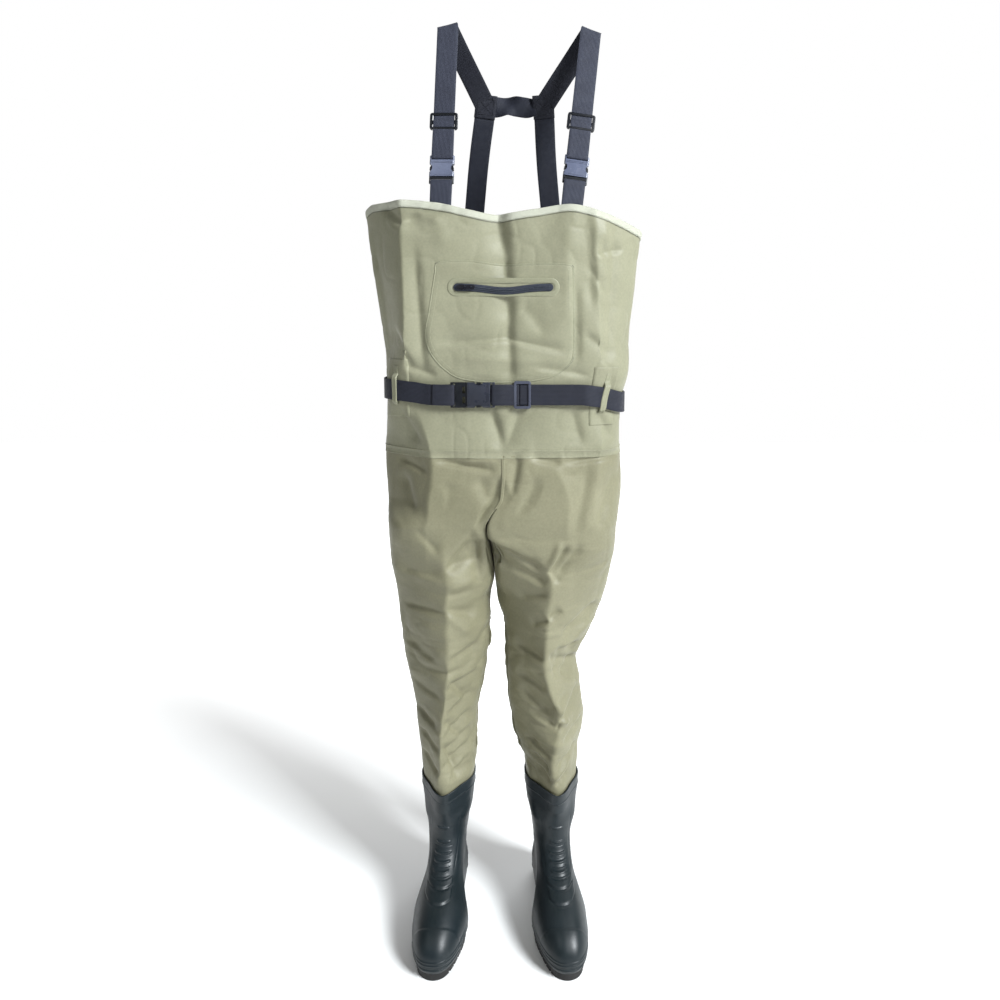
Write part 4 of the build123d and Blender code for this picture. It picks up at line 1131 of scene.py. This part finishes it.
def make_boot(side):
    cols = 220
    turn = np.linspace(0, 2 * np.pi, cols, endpoint=False)
    zs = np.concatenate([np.arange(*span) for span in ((15.5, 110, 0.8), (110, 194, 0.55), (194, 269.01, 1))])
    toe, heel, half, foot, point = (curve(zs, [(r[0], r[k]) for r in BOOT_ROWS])[:, None] for k in range(1, 6))
    z = zs[:, None] + 0 * turn[None]
    c, s = np.cos(turn)[None], np.sin(turn)[None]
    squeeze = prow(turn[None], point)
    blunt = 1 - 0.4 * between(zs, 92, 115, 192, 226)[:, None]
    y = (toe + heel) / 2 - (heel - toe) / 2 * np.sign(c) * np.abs(c) ** blunt * squeeze
    along = (y - toe) / (heel - toe)
    waist = 1 - 0.34 * foot * np.maximum(0, 1 - ((along - 0.66) / 0.30) ** 2)
    x = half * np.sign(s) * np.abs(s) ** (1 - 0.24 * foot) * waist * squeeze
    x += 5 * foot * np.cos(np.pi * (along - 0.1))
    # The cuff dips in front and at the back it stands up a little.
    dip = 9 * np.exp(-np.sqrt((np.angle(np.exp(1j * turn)) / 0.42) ** 2 + 0.02))[None] - 1.5 * (1 - c) / 2
    z = z - dip * smooth(zs, 200, 268)[:, None]
    p = stack(x, y, z)
    n = grid_normals(p, True)
    n = n * np.sign(np.sum(n * (x[..., None] * (1, 0, 0))))

    zz = zs[:, None] + 0 * x
    lift = 0.0 * x

    def line(level, height, width, reach=26.0, smile=4.0, soft=6.0):
        """A rounded rib across the front, its ends turned up."""
        d = zz - (level + smile * (x / 30.0) ** 2)
        inside = 1 - smooth(np.abs(x), reach - soft, reach)
        return height * hump(d, 0, width) * inside * (y < 20)

    lift += 1.3 * hump(zz, 249, 1.5)
    lift += 0.5 * smooth(zz, 250, 252)
    ribs = ((186, 2.5, 15), (157, 2.4, 15), (139, 2.1, 18), (128, 1.9, 18), (117, 1.8, 18))
    for level, height, reach in ribs:
        lift += line(level, height * 0.9, 1.5, reach)
    for level in (150.0, 134.0, 123.0, 113.2, 110.4):
        lift -= line(level, 0.6, 0.8, 20, 1.0)
    # Two plates over the instep with grooves round them.
    for low, high, reach in ((103.5, 110.5, 25), (92.0, 101.0, 26)):
        inside = between(zz, low - 0.6, low + 0.9, high - 0.9, high + 0.6)
        inside = inside * (1 - smooth(np.abs(x), reach - 1.6, reach)) * (y < 0)
        lift += 1.1 * inside
    lift -= line(102.2, 1.0, 1.1, 27, 0) + line(91.0, 1.0, 1.1, 28, 0)
    # The shin panel's edges, the chevrons on the inner side and the ankle.
    edge = np.abs(np.abs(x) - (27 + 0.05 * (zz - 150)))
    lift -= 0.7 * hump(edge, 0, 1.1) * between(zz, 112, 122, 196, 206) * (y < 0)
    inner = x > 20
    for k in (0, 1, 2):
        d = np.abs(zz - (146 - k * 6) + 1.5 * np.abs(y + 18))
        lift += hump(d, 0, 1.7) * inner * (1 - smooth(np.abs(y + 18), 8, 11))
    lift += 3.0 * hump(zz, 96, 26.0) * hump(y, 18, 34.0)
    # Heel guard with its kick ledge.
    heel_zone = smooth(y, 38, 52)
    lift += 1.8 * heel_zone * (1 - smooth(zz, 88, 93)) + 1.8 * heel_zone * hump(zz, 84, 3.0)
    for k in range(4):
        lift += 0.9 * heel_zone * hump(zz, 48 + 9 * k, 1.6)
    # Toe cap, its two bumper lines and the welt over the sole.
    lift += 1.1 * smooth(-(y + 189 - 0.008 * x * x), -0.8, 0.8)
    bumpers = 1.0 * hump(zz, 36.5, 1.3) + 1.1 * hump(zz, 31.5, 1.4)
    lift += bumpers * smooth(-y, 110, 150)
    lift += 1.0 * (1 - smooth(zz, 23.0, 25.0))
    lift -= 0.8 * hump(zz, 25.2, 0.9)
    # Soft dents where the shaft is pressed flat.
    q = stack(x, y, zz)
    dents = noise(q, 1 / 48.0, 71 + side) * 1.6 + noise(q, 1 / 21.0, 73 + side) * 0.45
    lift += dents * smooth(zz, 120, 165) * (1 - 0.8 * smooth(zz, 240, 262))
    p = p + n * lift[..., None]

    # Inside: over the rim and down into the shaft.
    rim = p[-1]
    centre = rim.mean(0)
    rows = [p]
    lining = ((0.4, -0.5), (1.2, -0.9), (2.2, -0.8), (3.0, 0.0), (3.2, 2.0), (3.4, 14.0), (3.6, 40.0))
    for inward, down in lining:
        low = rim - unit((rim - centre) * (1, 1, 0)) * inward - (0, 0, down)
        rows.append(low[None])
    p = np.concatenate(rows)
    turn_out = np.array([[np.cos(TOE_OUT), -np.sin(TOE_OUT)], [np.sin(TOE_OUT), np.cos(TOE_OUT)]])
    p[..., :2] = p[..., :2] @ turn_out
    p[..., 0] -= BOOT_X
    if side > 0:
        p[..., 0] *= -1
    uv = stack(np.linspace(0, 0.34, cols), p[..., 2] / 1000)
    return grid_mesh(f"{SIDES[side]}_boot", p, uv, wrap=True, flip=side > 0)


# ------------------------------------------------------------------ zip that follows the cloth
def zip_dip(x):
    """How far the zip sags with the cloth."""
    return -6.5 * hump(x, 8, 42.0)


def make_zip():
    """The zip's tape with rounded ends, and its coil of short teeth."""
    lo, hi, half, back_y, front_y = -76, 88, 6.6, -94.8, -97.3
    pitch = 1.5
    section = [(-1, 0), (-1, 0.75), (-0.94, 1), (-0.5, 1), (0, 1), (0.5, 1), (0.94, 1), (1, 0.75), (1, 0)]
    rows = []
    for x in np.arange(lo - half, hi + half + 0.01, pitch):
        end = max(lo - x, x - hi, 0.0)
        h = max(np.sqrt(max(half * half - end * end, 0.0)), 0.15)
        rows.append([(x, back_y + (front_y - back_y) * out, ZIP_Z + zip_dip(x) + u * h) for u, out in section])
    rows = np.array(rows)
    uv = stack(rows[..., 2] / 1000 - 1.2, rows[..., 0] / 1000)
    tape = grid_mesh("zip_tape_cloth", rows, uv, flip=True)
    verts, faces = [], []
    for x in np.arange(lo, hi, pitch):
        z0 = ZIP_Z + zip_dip(x)
        for sign in (-1, 1):
            base = len(verts)
            for dx, h0 in ((-0.55, 0.5), (-0.3, 1.0), (0.3, 1.0), (0.55, 0.5)):
                for u, out in ((0.0, 0.35), (0.25, 1.0), (0.8, 1.0), (1.0, 0.3)):
                    verts.append((x + dx + 0.2 * sign, -97.2 - 1.25 * out * h0, z0 + sign * (0.1 + 2.5 * u)))
            faces += grid_faces(4, 4, offset=base, flip=sign > 0).tolist()
    verts = np.array(verts)
    coil = mesh("zip_coil_rows", verts, faces, verts[:, [2, 0]] / 1000)
    return tape, coil


def edge_shade_lines(tree):
    """The thin dark lines where tapes end on the cloth: painted shade along the tapes' edges."""
    thin = [(-0.5, -0.5), (-0.4, 0.25), (0.0, 0.4), (0.4, 0.25), (0.5, -0.5)]
    lines = [surface_strip("weld", tree, pocket_line(grow), 1.5, 1.0, thin) for grow in (6.2, -6.2)]
    return join("pocket_edge_shade_lines", lines)


# ------------------------------------------------------------------ put the cloth on
bib, binding, binding_shade_line = make_bib()
finish(bib, BIB, "bib_cloth", "garment", "bib_front_panel", "bib_back_panel")
finish(binding, BINDING, "binding_tape", "garment", "bib_edge_binding")
# Painted shade: a dark line under the binding.
finish(binding_shade_line, EDGE_SHADE, "seam_tape", "garment")
finish(waist_tape(), BIB, "seam_tape", "garment", "waist_seam_tape")
legs = {side: make_trouser(side) for side in SIDES}
for side, name in SIDES.items():
    replaced = [f"{name}_leg_front_panel", f"{name}_leg_back_panel"]
    if side < 0:
        replaced += ["seat_front_panel", "seat_back_panel", "crotch_gusset"]
    finish(legs[side], LEG, "leg_cloth", None, *replaced)
    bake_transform(legs[side])
finish(centre_seam(), LEG_TAPE, "seam_tape", "garment")

tree = surface_tree(bib)
finish(make_pocket(tree), BIB, "bib_cloth", "garment", "chest_pocket_panel")
finish(surface_strip("pocket_tape", tree, pocket_line(0), 10.5, 0.9), TAPE, "seam_tape", "garment")
finish(zip_halo(tree), TAPE, "seam_tape", "garment")
# Painted shade: dark lines along the pocket tape's edges.
finish(edge_shade_lines(tree), EDGE_SHADE, "seam_tape", "garment")
tape, coil = make_zip()
finish(tape, ZIP_CLOTH, "zip_cloth", "garment", "zip_tape")
finish(coil, ZIP_COIL, "zip_plastic", "garment", "zip_coil")
band, insert_web, doubled = make_belt()
finish(band, BELT, "belt_web", "garment", "belt_webbing")
finish(insert_web, BELT, "belt_web", None, "belt_insert_webbing")
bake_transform(insert_web)
finish(doubled, BELT, "belt_web", "garment", "belt_adjuster_webbing")
for side, name in SIDES.items():
    loop, patch = belt_loop(side)
    finish(loop, TAPE, "seam_tape", "garment", f"{name}_belt_loop")
    finish(patch, BIB, "bib_cloth", "garment", f"{name}_belt_loop_patch")
    h = make_harness(name)
    finish(h["tab"], STRAP, "strap_web", "garment", f"{name}_bib_tab")
    finish(h["strap"], STRAP, "strap_web", "garment", f"{name}_shoulder_strap")
    # The strap's rear run takes the dark webbing as painted shade.
    finish(h["rear"], DARK_AND_SHADED_STRAP, "strap_web", "garment")
    finish(h["doubled"], STRAP, "strap_web", None, f"{name}_adjuster_webbing")
    top, low = h["at"](146), h["at"](106)
    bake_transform(h["doubled"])
    finish(h["patch"], DARK_AND_SHADED_STRAP, "strap_web_dark", "garment", f"{name}_yoke_patch")
    finish(h["thread"], DARK_AND_SHADED_STRAP, "strap_web_dark", "garment")
    finish(h["elastic"], ELASTIC, "elastic_web", "garment", f"{name}_back_elastic")
    finish(h["sewn"], ELASTIC, "elastic_web", "garment", f"{name}_back_tab")
    finish(make_boot(side), BOOT, "boot_pvc", f"{name}_leg", f"{name}_boot_upper", f"{name}_boot_weld")
finish(cross_strap(), ELASTIC, "strap_web_dark", "garment", "yoke_cross_strap")

LOOKS = {"buckle_plastic": PLASTIC, "black_metal": METAL, "zip_cloth": ZIP_CLOTH, "zip_plastic": ZIP_COIL,
         "boot_pvc": BOOT, "sole_rubber": SOLE, "insole_cloth": FELT}
# Paler looks for the receivers and the belt's slider: painted highlights and reflections on black plastic.
SPECIAL_LOOKS = {"right_buckle_receiver": PAINTED_REFLECTION_SHELL, "left_buckle_receiver": PAINTED_REFLECTION_SHELL,
                 "belt_buckle_receiver": BELT_SHELL, "belt_slider": SLIDER}
for part in frame["record"]["subparts"]:
    if part["material_slot"] in LOOKS:
        node = frame["nodes"][part["node"]]
        node.data.materials.clear()
        node.data.materials.append(SPECIAL_LOOKS.get(part["node"], LOOKS[part["material_slot"]]))


# ------------------------------------------------------------------ studio
def fade_along_y(tree, vector, near, far, low, high):
    """A value that goes smoothly from low to high as the vector's Y goes from near to far."""
    axes = tree.nodes.new("ShaderNodeSeparateXYZ")
    step = tree.nodes.new("ShaderNodeMapRange")
    step.interpolation_type = "SMOOTHSTEP"
    for socket, value in (("From Min", near), ("From Max", far), ("To Min", low), ("To Max", high)):
        step.inputs[socket].default_value = value
    tree.links.new(vector, axes.inputs[0])
    tree.links.new(axes.outputs["Y"], step.inputs["Value"])
    return step.outputs["Result"]


def camera_and_light():
    data = bpy.data.cameras.new("camera")
    data.sensor_width = 36.0
    data.lens = 27.2
    data.shift_y = -0.083
    cam = bpy.data.objects.new("camera", data)
    cam.location = (0.0, -1.45, (1177.0 - HANG) / 1000)
    cam.rotation_euler = (np.radians(83.0), 0.0, 0.0)
    bpy.context.scene.collection.objects.link(cam)
    bpy.context.scene.camera = cam
    for name, place, size, power, aim in (
        ("key", (4.4, -3.6, 2.9), 2.2, 940.0, (0.0, 0.0, -0.8)),
        ("fill", (-1.3, -1.8, 0.9), 1.5, 11.0, (-0.1, 0.0, -0.4)),
        ("back", (0.8, 2.2, 0.9), 1.8, 30.0, (0.0, 0.0, -0.8)),
    ):
        light = bpy.data.lights.new(name, "AREA")
        light.size = size
        light.energy = power
        light.color = (0.93, 0.97, 1.0)
        lamp = bpy.data.objects.new(name, light)
        lamp.location = place
        lamp.rotation_euler = (Vector(aim) - Vector(place)).to_track_quat("-Z", "Y").to_euler()
        bpy.context.scene.collection.objects.link(lamp)
    world = bpy.data.worlds.new("studio")
    world.use_nodes = True
    sky = world.node_tree
    # A studio whose back wall is white and whose front half is dimmer.
    aim = sky.nodes.new("ShaderNodeTexCoord").outputs["Generated"]
    sky.links.new(fade_along_y(sky, aim, 0.2, 0.75, 0.15, 1.0), sky.nodes["Background"].inputs["Strength"])
    sky.nodes["Background"].inputs["Color"].default_value = (1.0, 1.0, 1.0, 1.0)
    bpy.context.scene.world = world
    floor = mesh("floor", [(-6000, -6000, -0.2), (6000, -6000, -0.2), (6000, 6000, -0.2), (-6000, 6000, -0.2)],
                 [(0, 1, 2, 3)], smooth_shade=False)
    n = Nodes("studio_floor", Roughness=0.9)
    # The floor glows, more and more towards the back, so that it fades into the white wall: painted light, which
    # also lightens the shadows cast on the floor.
    n.use(Emission_Strength=fade_along_y(n.tree, n.coords("Object"), -0.2, 1.6, 0.0, 0.7))
    n.bsdf.inputs["Emission Color"].default_value = (1, 1, 1, 1)
    patches = n.ramp(n.noise(n.coords("Object"), 3.0, 3), [(0.3, 0.0), (0.7, 1.0)])
    n.use(Base_Color=n.mix(patches, (0.84, 0.84, 0.83), (0.88, 0.88, 0.87)))
    floor.data.materials.append(n.mat)
    bpy.context.scene.view_settings.view_transform = "Standard"


camera_and_light()
import json
